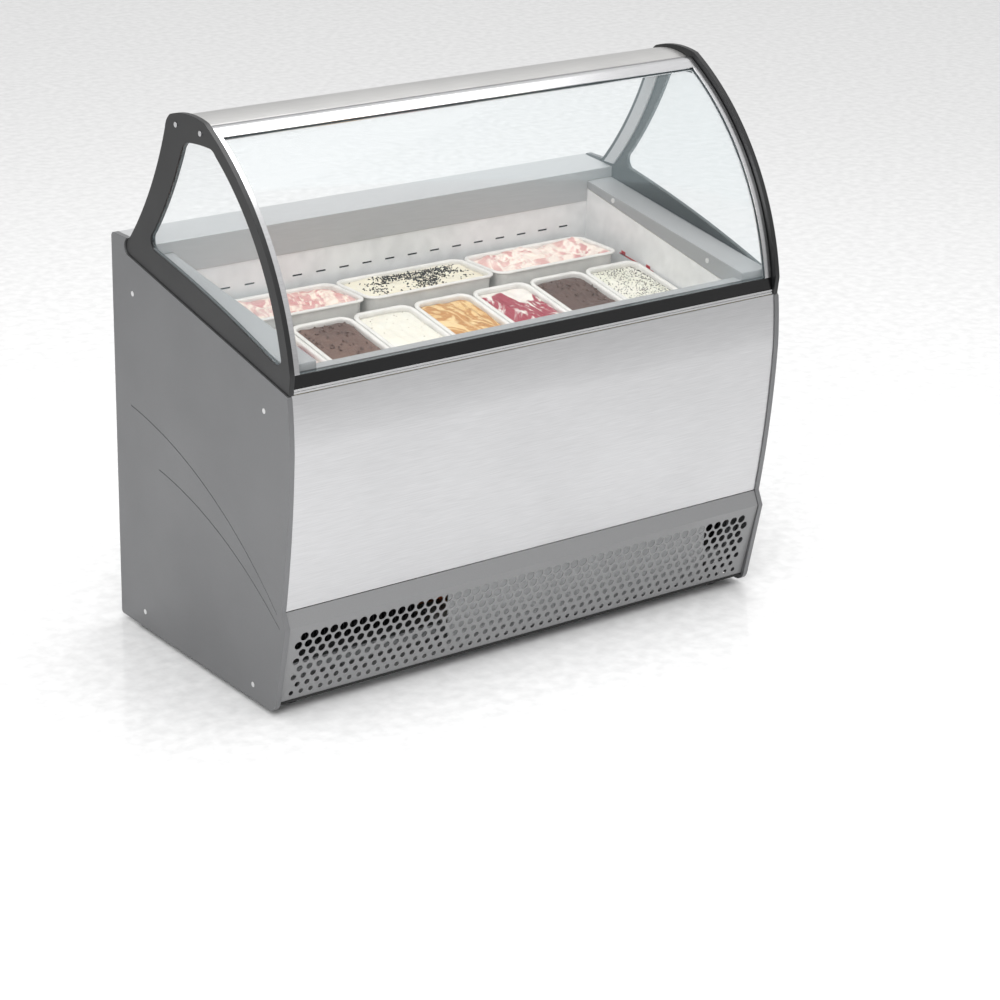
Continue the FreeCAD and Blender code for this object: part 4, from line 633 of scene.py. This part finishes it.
FRONT_ROW: tuple[Flavour, ...] = (
    Flavour("cherry_ripple", MILK, (0.78, 0.62, 0.56), BERRY, 0.42, 8, soft=0.05, rough=0.006),
    Flavour("chocolate", COCOA, COCOA_PALE, grit=1.0, rough=0.008, wet=0.55, topping=CRUMBS),
    Flavour("vanilla", (0.8, 0.785, 0.7), (0.78, 0.75, 0.65), rough=0.004, topping=SPECKS),
    Flavour("caramel", (0.74, 0.5, 0.22), (0.8, 0.6, 0.32), (0.5, 0.24, 0.07), 0.4, 13, soft=0.05,
            rough=0.007),
    Flavour("berry_ripple", (0.8, 0.74, 0.7), MILK, BERRY, 0.42, 9, soft=0.05, rough=0.007),
    Flavour("dark_chocolate", (0.085, 0.045, 0.034), COCOA, grit=1.0, rough=0.008, wet=0.55,
            topping=CRUMBS),
    Flavour("chocolate_flake", (0.74, 0.73, 0.62), MILK, rough=0.005, topping=FLAKES),
)
REAR_ROW: tuple[Flavour, ...] = (
    Flavour("strawberry", PINK, BLUSH, (0.84, 0.72, 0.62), 0.28, 10, soft=0.06, rough=0.016),
    Flavour("chip", (0.8, 0.76, 0.62), (0.76, 0.7, 0.55), rough=0.006, topping=BLACK_CHIPS),
    Flavour("raspberry", PINK, BLUSH, (0.85, 0.75, 0.67), 0.28, 9, soft=0.06, rough=0.016),
)


COARSE_GRIT = 0.9
COARSE_SCALE = 170
FINE_SCALE = 330
CREAM_RELIEF = 0.0016


def cream_material(flavour: Flavour) -> bpy.types.Material:
    """The ice cream's own material.

    Args:
        flavour: what it looks like.

    Returns:
        The material.
    """
    shader = Shader(f"cream_{flavour.name}")
    surface = shader.surface.inputs
    broad = shader.noise(9, 4, warp=0.6)
    base = shader.ramp(broad, ((0.36, flavour.cream), (0.64, flavour.second)))
    if flavour.spread:
        wave = shader.noise(flavour.swirl, 4, (1, 0.55, 1), 2.6)
        edge = 0.5 - flavour.spread * 0.16
        far = 0.5 + flavour.spread * 0.05
        mask = shader.ramp(wave, ((edge - flavour.soft, (0, 0, 0)), (edge + 0.01, (1, 1, 1)),
                                  (far, (1, 1, 1)), (far + flavour.soft, (0, 0, 0))))
        mix = shader.node("Mix", data_type="RGBA")
        shader.join(mask, mix.inputs["Factor"])
        shader.join(base, mix.inputs[6])
        mix.inputs[7].default_value = (*flavour.ripple, 1)
        base = mix.outputs[2]
    shader.join(base, surface["Base Color"])
    surface["Roughness"].default_value = flavour.wet
    surface["Subsurface Weight"].default_value = 0.12
    surface["Subsurface Radius"].default_value = (0.004, 0.003, 0.002)
    coarse = flavour.grit >= COARSE_GRIT
    fine = shader.noise(COARSE_SCALE if coarse else FINE_SCALE, 6, warp=0.3)
    shader.relief(fine, flavour.grit, CREAM_RELIEF)
    return shader.material


class PanBuilder:
    """Builds a tub and the ice cream in it."""

    CREAM_INSET: ClassVar[float] = 0.0128
    CREAM_DEPTH: ClassVar[float] = 0.05
    CREAM_LEAN: ClassVar[float] = 0.004
    CREAM_RINGS: ClassVar[int] = 30
    CREAM_CORNER: ClassVar[int] = 9
    CREAM_SIDES: ClassVar[int] = 14
    BELOW_RIM: ClassVar[float] = 0.0062
    SAG_AT_WALL: ClassVar[float] = 0.004
    HIGHEST: ClassVar[float] = 0.009
    LEAST_CORNER: ClassVar[float] = 0.008

    def __init__(self, size: PanSize, palette: Palette) -> None:
        """Keeps the tub's size and the finishes.

        Args:
            size: the tub's size.
            palette: the finishes.
        """
        self.size = size
        self.palette = palette

    def ring(self, inset: float, z: float, corner: int = 8, sides: int = 1,
             share: float = 1.0) -> Ring:
        """A ring inside the lip's outline.

        Args:
            inset: how far it lies inside the lip's outer edge.
            z: its height.
            corner: points round each corner.
            sides: pieces along each straight side.
            share: scale about the middle.

        Returns:
            The ring's points.
        """
        size = self.size
        return rounded_ring((size.width / 2 - inset) * share, (size.length / 2 - inset) * share,
                            max(self.LEAST_CORNER, size.corner - inset) * share, z, corner, sides)

    def tub(self, name: str, place: Matrix) -> bpy.types.Object:
        """The tub.

        Args:
            name: the object's name.
            place: where its rim's middle goes.

        Returns:
            The object.
        """
        size = self.size
        lean = size.lip + size.taper
        profile = (
            (lean + 0.006, -size.depth),
            (lean + 0.0015, -size.depth + 0.0012),
            (lean, -size.depth + 0.006),
            (size.lip, -0.0046),
            (0.0012, -0.0044),
            (0.0002, -0.0034),
            (0.0, -0.002),
            (0.0006, -0.0004),
            (0.0022, 0.0008),
            (0.0055, 0.0012),
            (0.0085, 0.0008),
            (0.0108, -0.0004),
            (0.012, -0.0026),
            (0.0124, -0.0065),
            (0.0124 + size.taper * 0.7, -size.depth + 0.008),
            (0.0165 + size.taper * 0.7, -size.depth + 0.003),
        )
        bm = bmesh.new()
        add_loft(bm, [[place @ p for p in self.ring(*corner)] for corner in profile])
        return mesh_object(name, bm, self.palette.get("pan_white"), 60)

    def cream(self, name: str, flavour: Flavour, place: Matrix, seed: float) -> bpy.types.Object:
        """The ice cream, with the marks of the scoop in its top.

        Args:
            name: the object's name.
            flavour: what it looks like.
            place: where the rim's middle goes.
            seed: shifts the noise so that no two are alike.

        Returns:
            The object, with a point attribute "topping" that says where loose pieces lie.
        """
        rings: list[Ring] = []
        heaps: list[float] = []
        for step in range(self.CREAM_RINGS + 1):
            share = 1 - 0.985 * (step / self.CREAM_RINGS) ** 0.9
            ring = self.ring(self.CREAM_INSET, 0, self.CREAM_CORNER, self.CREAM_SIDES, share)
            for point in ring:
                point.z, heap = self.height(flavour, point, share, seed)
                heaps.append(heap)
            rings.append(ring)
        foot = self.ring(self.CREAM_INSET + self.CREAM_LEAN, -self.CREAM_DEPTH,
                         self.CREAM_CORNER, self.CREAM_SIDES)
        bm = bmesh.new()
        add_loft(bm, [[place @ p for p in ring] for ring in [foot, *rings]])
        made = mesh_object(name, bm, cream_material(flavour), 80)
        heap = made.data.attributes.new("topping", "FLOAT", "POINT")
        values = [0.0] * len(foot) + heaps
        heap.data.foreach_set("value", values[:len(made.data.vertices)])
        return made

    @classmethod
    def height(cls, flavour: Flavour, point: Vector, share: float, seed: float) -> Span:
        """The height of the ice cream's top and how thickly loose pieces lie on it.

        Args:
            flavour: what it looks like.
            point: the place, in the tub's own axes.
            share: 1 at the tub's wall and near 0 in the middle.
            seed: shifts the noise.

        Returns:
            The height below the rim and the topping's thickness from 0 to 1.
        """
        spot = Vector((point.x, point.y, seed * 3.7))
        broad = noise.noise(spot * 9)
        lump = noise.fractal(spot * 26, 0.8, 2.1, 4)
        crease = Vector((point.x * 30, point.y * 11, seed)) + Vector((0, 0, broad))
        fold = 1 - abs(noise.noise(crease))
        wall = max(0.0, (share - 0.86) / 0.14)
        top = -cls.BELOW_RIM + flavour.dome * (1 - share**2.6) - cls.SAG_AT_WALL * wall**2
        top += flavour.rough * (0.55 * lump + 0.9 * (fold - 0.75) + 0.8 * broad) * (1 - 0.5 * wall)
        patch = flavour.topping.patch if flavour.topping else 0
        gather = max(0.0, min(1.0, 0.55 + 1.9 * noise.noise(spot * 13 + Vector((5, 1, 2)))))
        away = max(0.0, 1 - max(0.0, share - 0.55) / 0.35) if patch > 0.9 else 1.0
        inside = 1.0 if share < 0.97 else 0.0
        return min(top, cls.HIGHEST), (1 - patch + patch * gather) * away * inside


class Scatter:
    """Lays loose pieces over a surface with Geometry Nodes and keeps the result as a mesh."""

    def __init__(self) -> None:
        """Builds the node group."""
        self.group = bpy.data.node_groups.new("loose_pieces", "GeometryNodeTree")
        face = self.group.interface
        face.new_socket("Geometry", in_out="INPUT", socket_type="NodeSocketGeometry")
        self.keys: dict[str, str] = {}
        for label, kind in (("Density", "Float"), ("Size", "Float"), ("Seed", "Int"),
                            ("Material", "Material")):
            socket = face.new_socket(label, in_out="INPUT", socket_type=f"NodeSocket{kind}")
            self.keys[label] = socket.identifier
        face.new_socket("Geometry", in_out="OUTPUT", socket_type="NodeSocketGeometry")
        self._wire()

    def _wire(self) -> None:
        """Joins the group's nodes."""
        nodes, links = self.group.nodes, self.group.links

        def add(kind: str, **settings: object) -> bpy.types.Node:
            """Adds a node of a kind with its settings."""
            made = nodes.new(kind)
            for key, setting in settings.items():
                setattr(made, key, setting)
            return made

        source = add("NodeGroupInput")
        where = add("GeometryNodeInputNamedAttribute", data_type="FLOAT")
        where.inputs["Name"].default_value = "topping"
        density = add("ShaderNodeMath", operation="MULTIPLY")
        points = add("GeometryNodeDistributePointsOnFaces")
        piece = add("GeometryNodeMeshIcoSphere")
        piece.inputs["Subdivisions"].default_value = 1
        spin = add("FunctionNodeRandomValue", data_type="FLOAT_VECTOR")
        spin.inputs[1].default_value = (math.tau, math.tau, math.tau)
        stretch = add("FunctionNodeRandomValue", data_type="FLOAT_VECTOR")
        stretch.inputs[0].default_value = (0.45, 0.35, 0.2)
        stretch.inputs[1].default_value = (1.3, 1.0, 0.5)
        place = add("GeometryNodeInstanceOnPoints")
        real = add("GeometryNodeRealizeInstances")
        paint = add("GeometryNodeSetMaterial")
        out = add("NodeGroupOutput")
        links.new(source.outputs["Density"], density.inputs[0])
        links.new(where.outputs[0], density.inputs[1])
        links.new(source.outputs["Geometry"], points.inputs["Mesh"])
        links.new(density.outputs[0], points.inputs["Density"])
        links.new(source.outputs["Seed"], points.inputs["Seed"])
        links.new(source.outputs["Size"], piece.inputs["Radius"])
        links.new(points.outputs["Points"], place.inputs["Points"])
        links.new(piece.outputs["Mesh"], place.inputs["Instance"])
        links.new(spin.outputs[0], place.inputs["Rotation"])
        links.new(stretch.outputs[0], place.inputs["Scale"])
        links.new(place.outputs["Instances"], real.inputs["Geometry"])
        links.new(real.outputs["Geometry"], paint.inputs["Geometry"])
        links.new(source.outputs["Material"], paint.inputs["Material"])
        links.new(paint.outputs["Geometry"], out.inputs[0])

    def over(self, name: str, ground: bpy.types.Object, topping: Topping,
             seed: int) -> bpy.types.Object:
        """Scatters one topping.

        Args:
            name: the object's name.
            ground: the surface, with a "topping" attribute.
            topping: what is scattered.
            seed: the scatter's seed.

        Returns:
            The loose pieces as one mesh object.
        """
        shader = Shader(f"{name}_look")
        shader.surface.inputs["Base Color"].default_value = (*topping.colour, 1)
        shader.surface.inputs["Roughness"].default_value = 0.5
        carrier = bpy.data.objects.new(f"{name}_ground", ground.data)
        bpy.context.scene.collection.objects.link(carrier)
        modifier = carrier.modifiers.new("loose_pieces", "NODES")
        modifier.node_group = self.group
        settings = {"Density": topping.density, "Size": topping.size / 2, "Seed": seed,
                    "Material": shader.material}
        for label, setting in settings.items():
            modifier[self.keys[label]] = setting
        graph = bpy.context.evaluated_depsgraph_get()
        mesh = bpy.data.meshes.new_from_object(carrier.evaluated_get(graph))
        bpy.data.objects.remove(carrier)
        made = bpy.data.objects.new(name, mesh)
        bpy.context.scene.collection.objects.link(made)
        return made


# ---------------------------------------------------------------- pieces of the look only
@dataclass(frozen=True)
class LimitMarks:
    """The red load limit line on each end wall, which slopes with the front pans.

    Args:
        wall: from the middle to the wall's face.
        rear: the line's rear end, as y and z.
        fore: its front end, as y and z.
        high: its height above its own axis.
        film: how far it stands off the wall.
        below: how far it reaches under its axis, as a share of its height.
        tick: a tick's height, as a share of the line's.
        ticks: where each tick starts and ends along the line.
    """

    wall: float = 0.582
    rear: Span = (0.118, 0.744)
    fore: Span = (-0.012, 0.728)
    high: float = 0.0032
    film: float = 0.0004
    below: float = 0.1
    tick: float = 3.2
    ticks: tuple[Span, ...] = ((0.05, 0.17), (0.78, 0.9))

    def bar(self, start: float, end: float, rise: float) -> Ring:
        """The outline of one stroke, on the middle plane.

        Args:
            start: where it starts along the line, from 0 to 1.
            end: where it ends.
            rise: its height as a share of the line's.

        Returns:
            Its four corners.
        """
        rear, fore = Vector((0, *self.rear)), Vector((0, *self.fore))
        near, far = rear.lerp(fore, start), rear.lerp(fore, end)
        up = Vector((0, 0, self.high))
        return [near + up * rise, far + up * rise, far - up * self.below, near - up * self.below]

    def build(self, mesh: bmesh.types.BMesh, side: int) -> None:
        """Fills the mesh for one wall.

        Args:
            mesh: the mesh to fill.
            side: -1 for the left wall and 1 for the right.
        """
        strokes = [(0, 1, 1), *((start, end, self.tick) for start, end in self.ticks)]
        for ring in (self.bar(*stroke) for stroke in strokes):
            ends = [[Vector((side * x, p.y, p.z)) for p in ring]
                    for x in (self.wall, self.wall - self.film)]
            add_loft(mesh, ends)
        bmesh.ops.recalc_face_normals(mesh, faces=mesh.faces)


@dataclass(frozen=True)
class AirSlotShade:
    """Painted shade: a black block inside each air slot along the tank's rear wall, standing in
    for the shade of the duct behind it.

    Args:
        count: how many slots there are.
        pitch: from one to the next.
        width: each slot's width.
        deep: where it starts and ends along Y.
        high: where it starts and ends in height.
    """

    count: int = 17
    pitch: float = 0.064
    width: float = 0.0256
    deep: Span = (0.2533, 0.254)
    high: Span = (0.7882, 0.7918)

    def build(self, mesh: bmesh.types.BMesh) -> None:
        """Fills the mesh with the blocks of painted shade in the slots."""
        for number in range(self.count):
            x = self.pitch * (number - self.count // 2)
            low, high = zip(self.deep, self.high)
            add_block(mesh, (x - self.width / 2, *low), (x + self.width / 2, *high))


@dataclass(frozen=True)
class PlinthShadowStrip:
    """Painted shadow: a black strip under the plinth's lower edge, standing in for the shadow
    beneath it.

    Args:
        low: its lowest corner.
        high: its highest corner.
    """

    low: tuple[float, float, float] = (-0.66, -0.2945, 0.0265)
    high: tuple[float, float, float] = (0.66, -0.277, 0.0313)

    def build(self, mesh: bmesh.types.BMesh) -> None:
        """Fills the mesh with the strip of painted shadow."""
        add_block(mesh, self.low, self.high)


@dataclass(frozen=True)
class Display:
    """The temperature on the controller's display, in seven-segment digits.

    Args:
        text: what it shows.
        start: the first digit's place along X.
        face: the display's face along Y.
        level: the digits' middle in height.
        tall: a digit's height.
        wide: a digit's width.
        thick: a segment's thickness.
        pitch: from one digit to the next.
        stand: how far the digits stand off the face.
    """

    text: str = "-18"
    start: float = 0.435
    face: float = 0.36
    level: float = 0.8
    tall: float = 0.016
    wide: float = 0.0085
    thick: float = 0.0017
    pitch: float = 0.0125
    stand: float = 0.0006

    LIT: ClassVar[dict[str, str]] = {"1": "bc", "8": "abcdefg", "-": "g"}
    ROWS: ClassVar[dict[str, int]] = {"a": 2, "g": 1, "d": 0}

    def bar(self, segment: str, x: float) -> tuple[float, float, float, float]:
        """The outline of a segment.

        Args:
            segment: its letter, from a to g.
            x: the digit's place.

        Returns:
            Its ends along X and then in height.
        """
        if segment in self.ROWS:
            z = self.level - self.tall / 2 + self.ROWS[segment] * (self.tall - self.thick) / 2
            return x + self.thick, x + self.wide - self.thick, z, z + self.thick
        left = x if segment in "bc" else x + self.wide - self.thick
        half = self.tall / 2 - self.thick / 2
        low = self.level if segment in "bf" else self.level - half
        return left, left + self.thick, low, low + half

    def build(self, mesh: bmesh.types.BMesh) -> None:
        """Fills the mesh with the lit segments."""
        for number, digit in enumerate(self.text):
            for segment in self.LIT[digit]:
                x0, x1, z0, z1 = self.bar(segment, self.start - self.pitch * number)
                add_block(mesh, (x0, self.face - self.stand, z0), (x1, self.face, z1))


@dataclass(frozen=True)
class LouvreLips:
    """A small pressed hood over each louvre in the rear panel.

    Args:
        count: how many louvres there are.
        first: the lowest one's height.
        pitch: from one to the next.
        across: where each starts and ends along X.
        skin: the panel's face along Y.
        reach: how far a hood stands out.
        inner: the heights of its edge at the skin.
        outer: the heights of its free edge, from the top.
    """

    count: int = 12
    first: float = 0.13
    pitch: float = 0.02
    across: Span = (-0.585, -0.265)
    skin: float = 0.3566
    reach: float = 0.0042
    inner: Span = (0.0062, 0.0102)
    outer: Span = (0.003, 0.0012)

    def build(self, mesh: bmesh.types.BMesh) -> None:
        """Fills the mesh with the hoods."""
        outline = [*((self.skin, z) for z in self.inner),
                   *((self.skin + self.reach, z) for z in self.outer)]
        for number in range(self.count):
            foot = self.first + self.pitch * number
            add_loft(mesh, [[Vector((x, y, foot + z)) for y, z in outline] for x in self.across])


@dataclass(frozen=True)
class CastorWheel:
    """A wheel with a rounded tread and a paler hub, each a profile of (across, radius).

    Args:
        tyre: the tyre's profile.
        hub: the hub's profile.
    """

    tyre: tuple[Span, ...] = (
        (-0.009, 0.0165), (-0.009, 0.0215), (-0.0075, 0.0242), (-0.005, 0.025),
        (0.005, 0.025), (0.0075, 0.0242), (0.009, 0.0215), (0.009, 0.0165))
    hub: tuple[Span, ...] = (
        (-0.0085, 0.0042), (-0.0088, 0.006), (-0.0066, 0.0075), (-0.0066, 0.0145),
        (-0.0088, 0.0164), (0.0088, 0.0164), (0.0066, 0.0145), (0.0066, 0.0075),
        (0.0088, 0.006), (0.0085, 0.0042))


@dataclass(frozen=True)
class PanRows:
    """Where the pans stand.

    Args:
        pitch: from one front pan to the next.
        tilt: how far the front pans lean forward, in degrees.
        rear_edge: the y and z of the front pans' rear rims.
        rear_pitch: from one rear pan to the next.
        rear_front: the y of the rear pans' front rims.
        rear_rim: the height of the rear pans' rims.
    """

    pitch: float = 0.165
    tilt: float = 10.2
    rear_edge: Span = (0.057, 0.7459)
    rear_pitch: float = 0.363
    rear_front: float = 0.068
    rear_rim: float = 0.768

    def places(self, size: PanSize) -> list[tuple[str, Matrix, Flavour]]:
        """The pans in order.

        Args:
            size: the tub's size.

        Returns:
            Each pan's node, its rim's middle and what is in it.
        """
        tilt = math.radians(self.tilt)
        y, z = self.rear_edge
        middle = Vector((0, y - math.cos(tilt) * size.length / 2,
                         z - math.sin(tilt) * size.length / 2))
        places: list[tuple[str, Matrix, Flavour]] = []
        for number, flavour in enumerate(FRONT_ROW):
            shift = Vector((self.pitch * (number - len(FRONT_ROW) // 2), 0, 0))
            place = Matrix.Translation(middle + shift) @ Matrix.Rotation(tilt, 4, "X")
            places.append((f"pan_front_{number + 1}", place, flavour))
        for number, flavour in enumerate(REAR_ROW):
            spot = Vector((self.rear_pitch * (number - len(REAR_ROW) // 2),
                           self.rear_front + size.width / 2, self.rear_rim))
            place = Matrix.Translation(spot) @ Matrix.Rotation(math.pi / 2, 4, "Z")
            places.append((f"pan_rear_{number + 1}", place, flavour))
        return places


# ---------------------------------------------------------------- the cabinet
@dataclass
class CabinetLook:
    """Dresses every node of the frame and adds the pieces that only the look has.

    Args:
        palette: the finishes.
        slots: each node's material slot, read from the record.
        bodies: each node's body, read from the record.
    """

    frame: dict
    palette: Palette
    slots: dict[str, str] = field(init=False)
    bodies: dict[str, str] = field(init=False)

    # Bevel widths of the nodes that get a softened copy; 0 keeps the edges sharp.
    SOFT: ClassVar[dict[str, float]] = {
        "side_panel_left": 0.0,
        "side_panel_right": 0.0,
        "frame_bracket_left": 0.001,
        "frame_bracket_right": 0.001,
        "front_panel": 0.0,
        "front_glass": 0.0,
        "glass_edge_trims": 0.0006,
        "glass_clamp": 0.0,
        "hinge_rod": 0.0,
        "canopy": 0.0008,
        "glass_seat_strip": 0.001,
        "rear_ledge": 0.0015,
        "side_sills": 0.002,
        "front_sill": 0.001,
        "cable_covers": 0.0015,
        "bracket_screws": 0.0006,
        "screw_caps": 0.0,
        "compressor": 0.0,
        "drain_pipe": 0.0,
        "drain_plug": 0.0008,
        "evaporator_coil": 0.0,
        "refrigerant_pipes": 0.0,
        "filter_drier": 0.0,
        "fan_blade": 0.0,
        "fan_shroud": 0.0,
        "electrical_box": 0.0,
        "castor_fork_rear_left": 0.0006,
        "castor_fork_rear_right": 0.0006,
        "castor_mounts": 0.0006,
        "main_switch": 0.0008,
        "set_button": 0.0006,
        "up_button": 0.0006,
        "down_button": 0.0006,
    }

    def __post_init__(self) -> None:
        """Reads each node's slot and body from the record."""
        record = self.frame["record"]
        self.slots = {part["node"]: part["material_slot"] for part in record["subparts"]}
        self.bodies = {node: body for body, nodes in record["behaviour"]["bodies"].items()
                       for node in nodes}

    def stand_for(self, piece: bpy.types.Object, node: str) -> None:
        """Shows a piece in place of a node.

        Args:
            piece: the piece.
            node: the node it stands for.
        """
        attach(piece, self.bodies[node])
        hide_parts(node)

    def dress(self) -> None:
        """Gives every node its finish, and a softened copy where its edges or curves need it."""
        for node, source in self.frame["nodes"].items():
            material = self.palette.get(self.slots[node])
            source.data.materials.clear()
            source.data.materials.append(material)
            if node in self.SOFT:
                self.stand_for(softened(node, source, material, self.SOFT[node]), node)

    def add(self, name: str, body: str, slot: str, finish: str,
            build: Callable[[bmesh.types.BMesh], None]) -> bpy.types.Object:
        """Adds a piece that only the look has.

        Args:
            name: its name.
            body: the body it rides on.
            slot: the record's slot; not used.
            finish: its key in FINISHES.
            build: fills its mesh.

        Returns:
            The piece.
        """
        bm = bmesh.new()
        build(bm)
        made = mesh_object(name, bm, self.palette.get(finish), 35)
        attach(made, body)
        return made

    def wheels(self) -> None:
        """Makes the castor wheels where the frame has them."""
        wheel = CastorWheel()
        for node in [name for name in self.slots if name.startswith("castor_wheel")]:
            low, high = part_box(node)
            place = Matrix.Translation((low + high) / 2)
            bm = bmesh.new()
            add_lathe(bm, wheel.tyre, place)
            self.stand_for(mesh_object(f"{node}_tyre", bm, self.palette.get("castor_tyre"), 50),
                           node)
            self.add(f"{node}_hub", self.bodies[node], self.slots[node], "hub_grey",
                     partial(add_lathe, profile=wheel.hub, place=place))

    def details(self) -> None:
        """Adds the load limit marks, the painted shade in the air slots, the painted shadow strip
        under the plinth, the digits and the hoods.
        """
        marks = LimitMarks()
        for side, name in ((-1, "left"), (1, "right")):
            self.add(f"load_limit_{name}", CABINET, "liner_white", "limit_red",
                     partial(marks.build, side=side))
        # Painted shade: black blocks inside the air slots.
        self.add("air_slot_shade", CABINET, "liner_white", "painted_shade_black", AirSlotShade().build)
        # Painted shadow: a black strip under the plinth's lower edge.
        self.add("plinth_shadow_strip", CABINET, "strip_black", "painted_shade_black", PlinthShadowStrip().build)
        self.add("display_digits", CABINET, "control_black", "digit_red", Display().build)
        self.add("louvre_lips", CABINET, "frame_galvanised", "frame_galvanised",
                 LouvreLips().build)

    def pans(self) -> None:
        """Makes the ten pans with their flavours."""
        size = PanSize()
        builder = PanBuilder(size, self.palette)
        scatter = Scatter()
        for seed, (node, place, flavour) in enumerate(PanRows().places(size), 1):
            self.stand_for(builder.tub(f"{node}_tub", place), node)
            cream = builder.cream(f"{node}_cream", flavour, place, float(seed))
            pieces = [cream]
            if flavour.topping:
                pieces.append(scatter.over(f"{node}_topping", cream, flavour.topping, seed))
            for piece in pieces:
                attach(piece, self.bodies[node])


# ---------------------------------------------------------------- the studio
@dataclass(frozen=True)
class PanelLight:
    """A soft panel light that faces the cabinet.

    Args:
        name: its name.
        place: where it stands.
        size: its width and height in metres.
        power: its power in watts.
    """

    name: str
    place: tuple[float, float, float]
    size: Span
    power: float


LIGHTS = (
    PanelLight("key", (-3.4, -3.4, 3.6), (2.6, 2.6), 110),
    PanelLight("top", (0.3, -0.2, 4.2), (3.6, 2.6), 90),
)


@dataclass(frozen=True)
class Studio:
    """Camera, lights and floor.

    Args:
        azimuth: the camera's turn about the cabinet, in degrees.
        elevation: its height above the horizon, in degrees.
        roll: its roll, in degrees.
        place: where it stands.
        lens: its focal length in millimetres.
        aim: what the lights face.
        horizon: how bright the surround is at the horizon.
        zenith: how bright it is high up.
        blend_to: the height where it is at its brightest.
        floor_half: half the floor's size in metres.
    """

    azimuth: float = -36.996
    elevation: float = 21.208
    roll: float = 1.312
    place: tuple[float, float, float] = (-3.639, -5.0258, 2.676)
    lens: float = 102.56
    aim: tuple[float, float, float] = (0, 0, 0.6)
    horizon: float = 0.5
    zenith: float = 0.95
    blend_to: float = 0.75
    floor_half: float = 14

    def camera(self) -> None:
        """Makes the camera and hands it to the scene."""
        turn, rise, roll = (math.radians(a) for a in (self.azimuth, self.elevation, self.roll))
        back = Vector((math.sin(turn) * math.cos(rise), -math.cos(turn) * math.cos(rise),
                       math.sin(rise)))
        right = Vector((math.cos(turn), math.sin(turn), 0))
        up = back.cross(right)
        across = right * math.cos(roll) + up * math.sin(roll)
        upward = up * math.cos(roll) - right * math.sin(roll)
        data = bpy.data.cameras.new("camera")
        data.lens = self.lens
        data.sensor_width = 36
        data.clip_end = 60
        camera = bpy.data.objects.new("camera", data)
        axes = Matrix((across, upward, back)).transposed().to_4x4()
        camera.matrix_world = Matrix.Translation(self.place) @ axes
        bpy.context.scene.collection.objects.link(camera)
        bpy.context.scene.camera = camera

    def light(self, panel: PanelLight) -> None:
        """Adds a soft panel light.

        Args:
            panel: which one.
        """
        data = bpy.data.lights.new(panel.name, "AREA")
        data.shape = "RECTANGLE"
        data.size, data.size_y = panel.size
        data.energy = panel.power
        lamp = bpy.data.objects.new(panel.name, data)
        place = Vector(panel.place)
        lamp.location = place
        lamp.rotation_euler = (Vector(self.aim) - place).to_track_quat("-Z", "Y").to_euler()
        bpy.context.scene.collection.objects.link(lamp)

    def lights(self) -> None:
        """Lights the cabinet from above and one side, in a pale surround."""
        for panel in LIGHTS:
            self.light(panel)
        world = bpy.data.worlds.new("surround")
        world.use_nodes = True
        nodes, links = world.node_tree.nodes, world.node_tree.links
        background = nodes["Background"]
        place = nodes.new("ShaderNodeTexCoord")
        split = nodes.new("ShaderNodeSeparateXYZ")
        height = nodes.new("ShaderNodeMapRange")
        height.inputs["From Max"].default_value = self.blend_to
        height.inputs["To Min"].default_value = self.horizon
        height.inputs["To Max"].default_value = self.zenith
        links.new(place.outputs["Generated"], split.inputs["Vector"])
        links.new(split.outputs["Z"], height.inputs["Value"])
        links.new(height.outputs["Result"], background.inputs["Strength"])
        background.inputs["Color"].default_value = (1, 1, 1, 1)
        bpy.context.scene.world = world
        bpy.context.scene.view_settings.view_transform = "Standard"

    def floor(self, palette: Palette) -> None:
        """Lays the floor.

        Args:
            palette: the finishes.
        """
        bm = bmesh.new()
        bmesh.ops.create_grid(bm, x_segments=1, y_segments=1, size=self.floor_half)
        mesh_object("studio_floor", bm, palette.get("floor"))


def main() -> None:
    """Builds the scene."""
    logging.basicConfig(level=logging.INFO, format="%(name)s: %(message)s")
    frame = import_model()
    palette = Palette()
    look = CabinetLook(frame, palette)
    look.dress()
    look.wheels()
    look.details()
    look.pans()
    studio = Studio()
    studio.floor(palette)
    studio.lights()
    studio.camera()


if __name__ == "__main__":
    main()
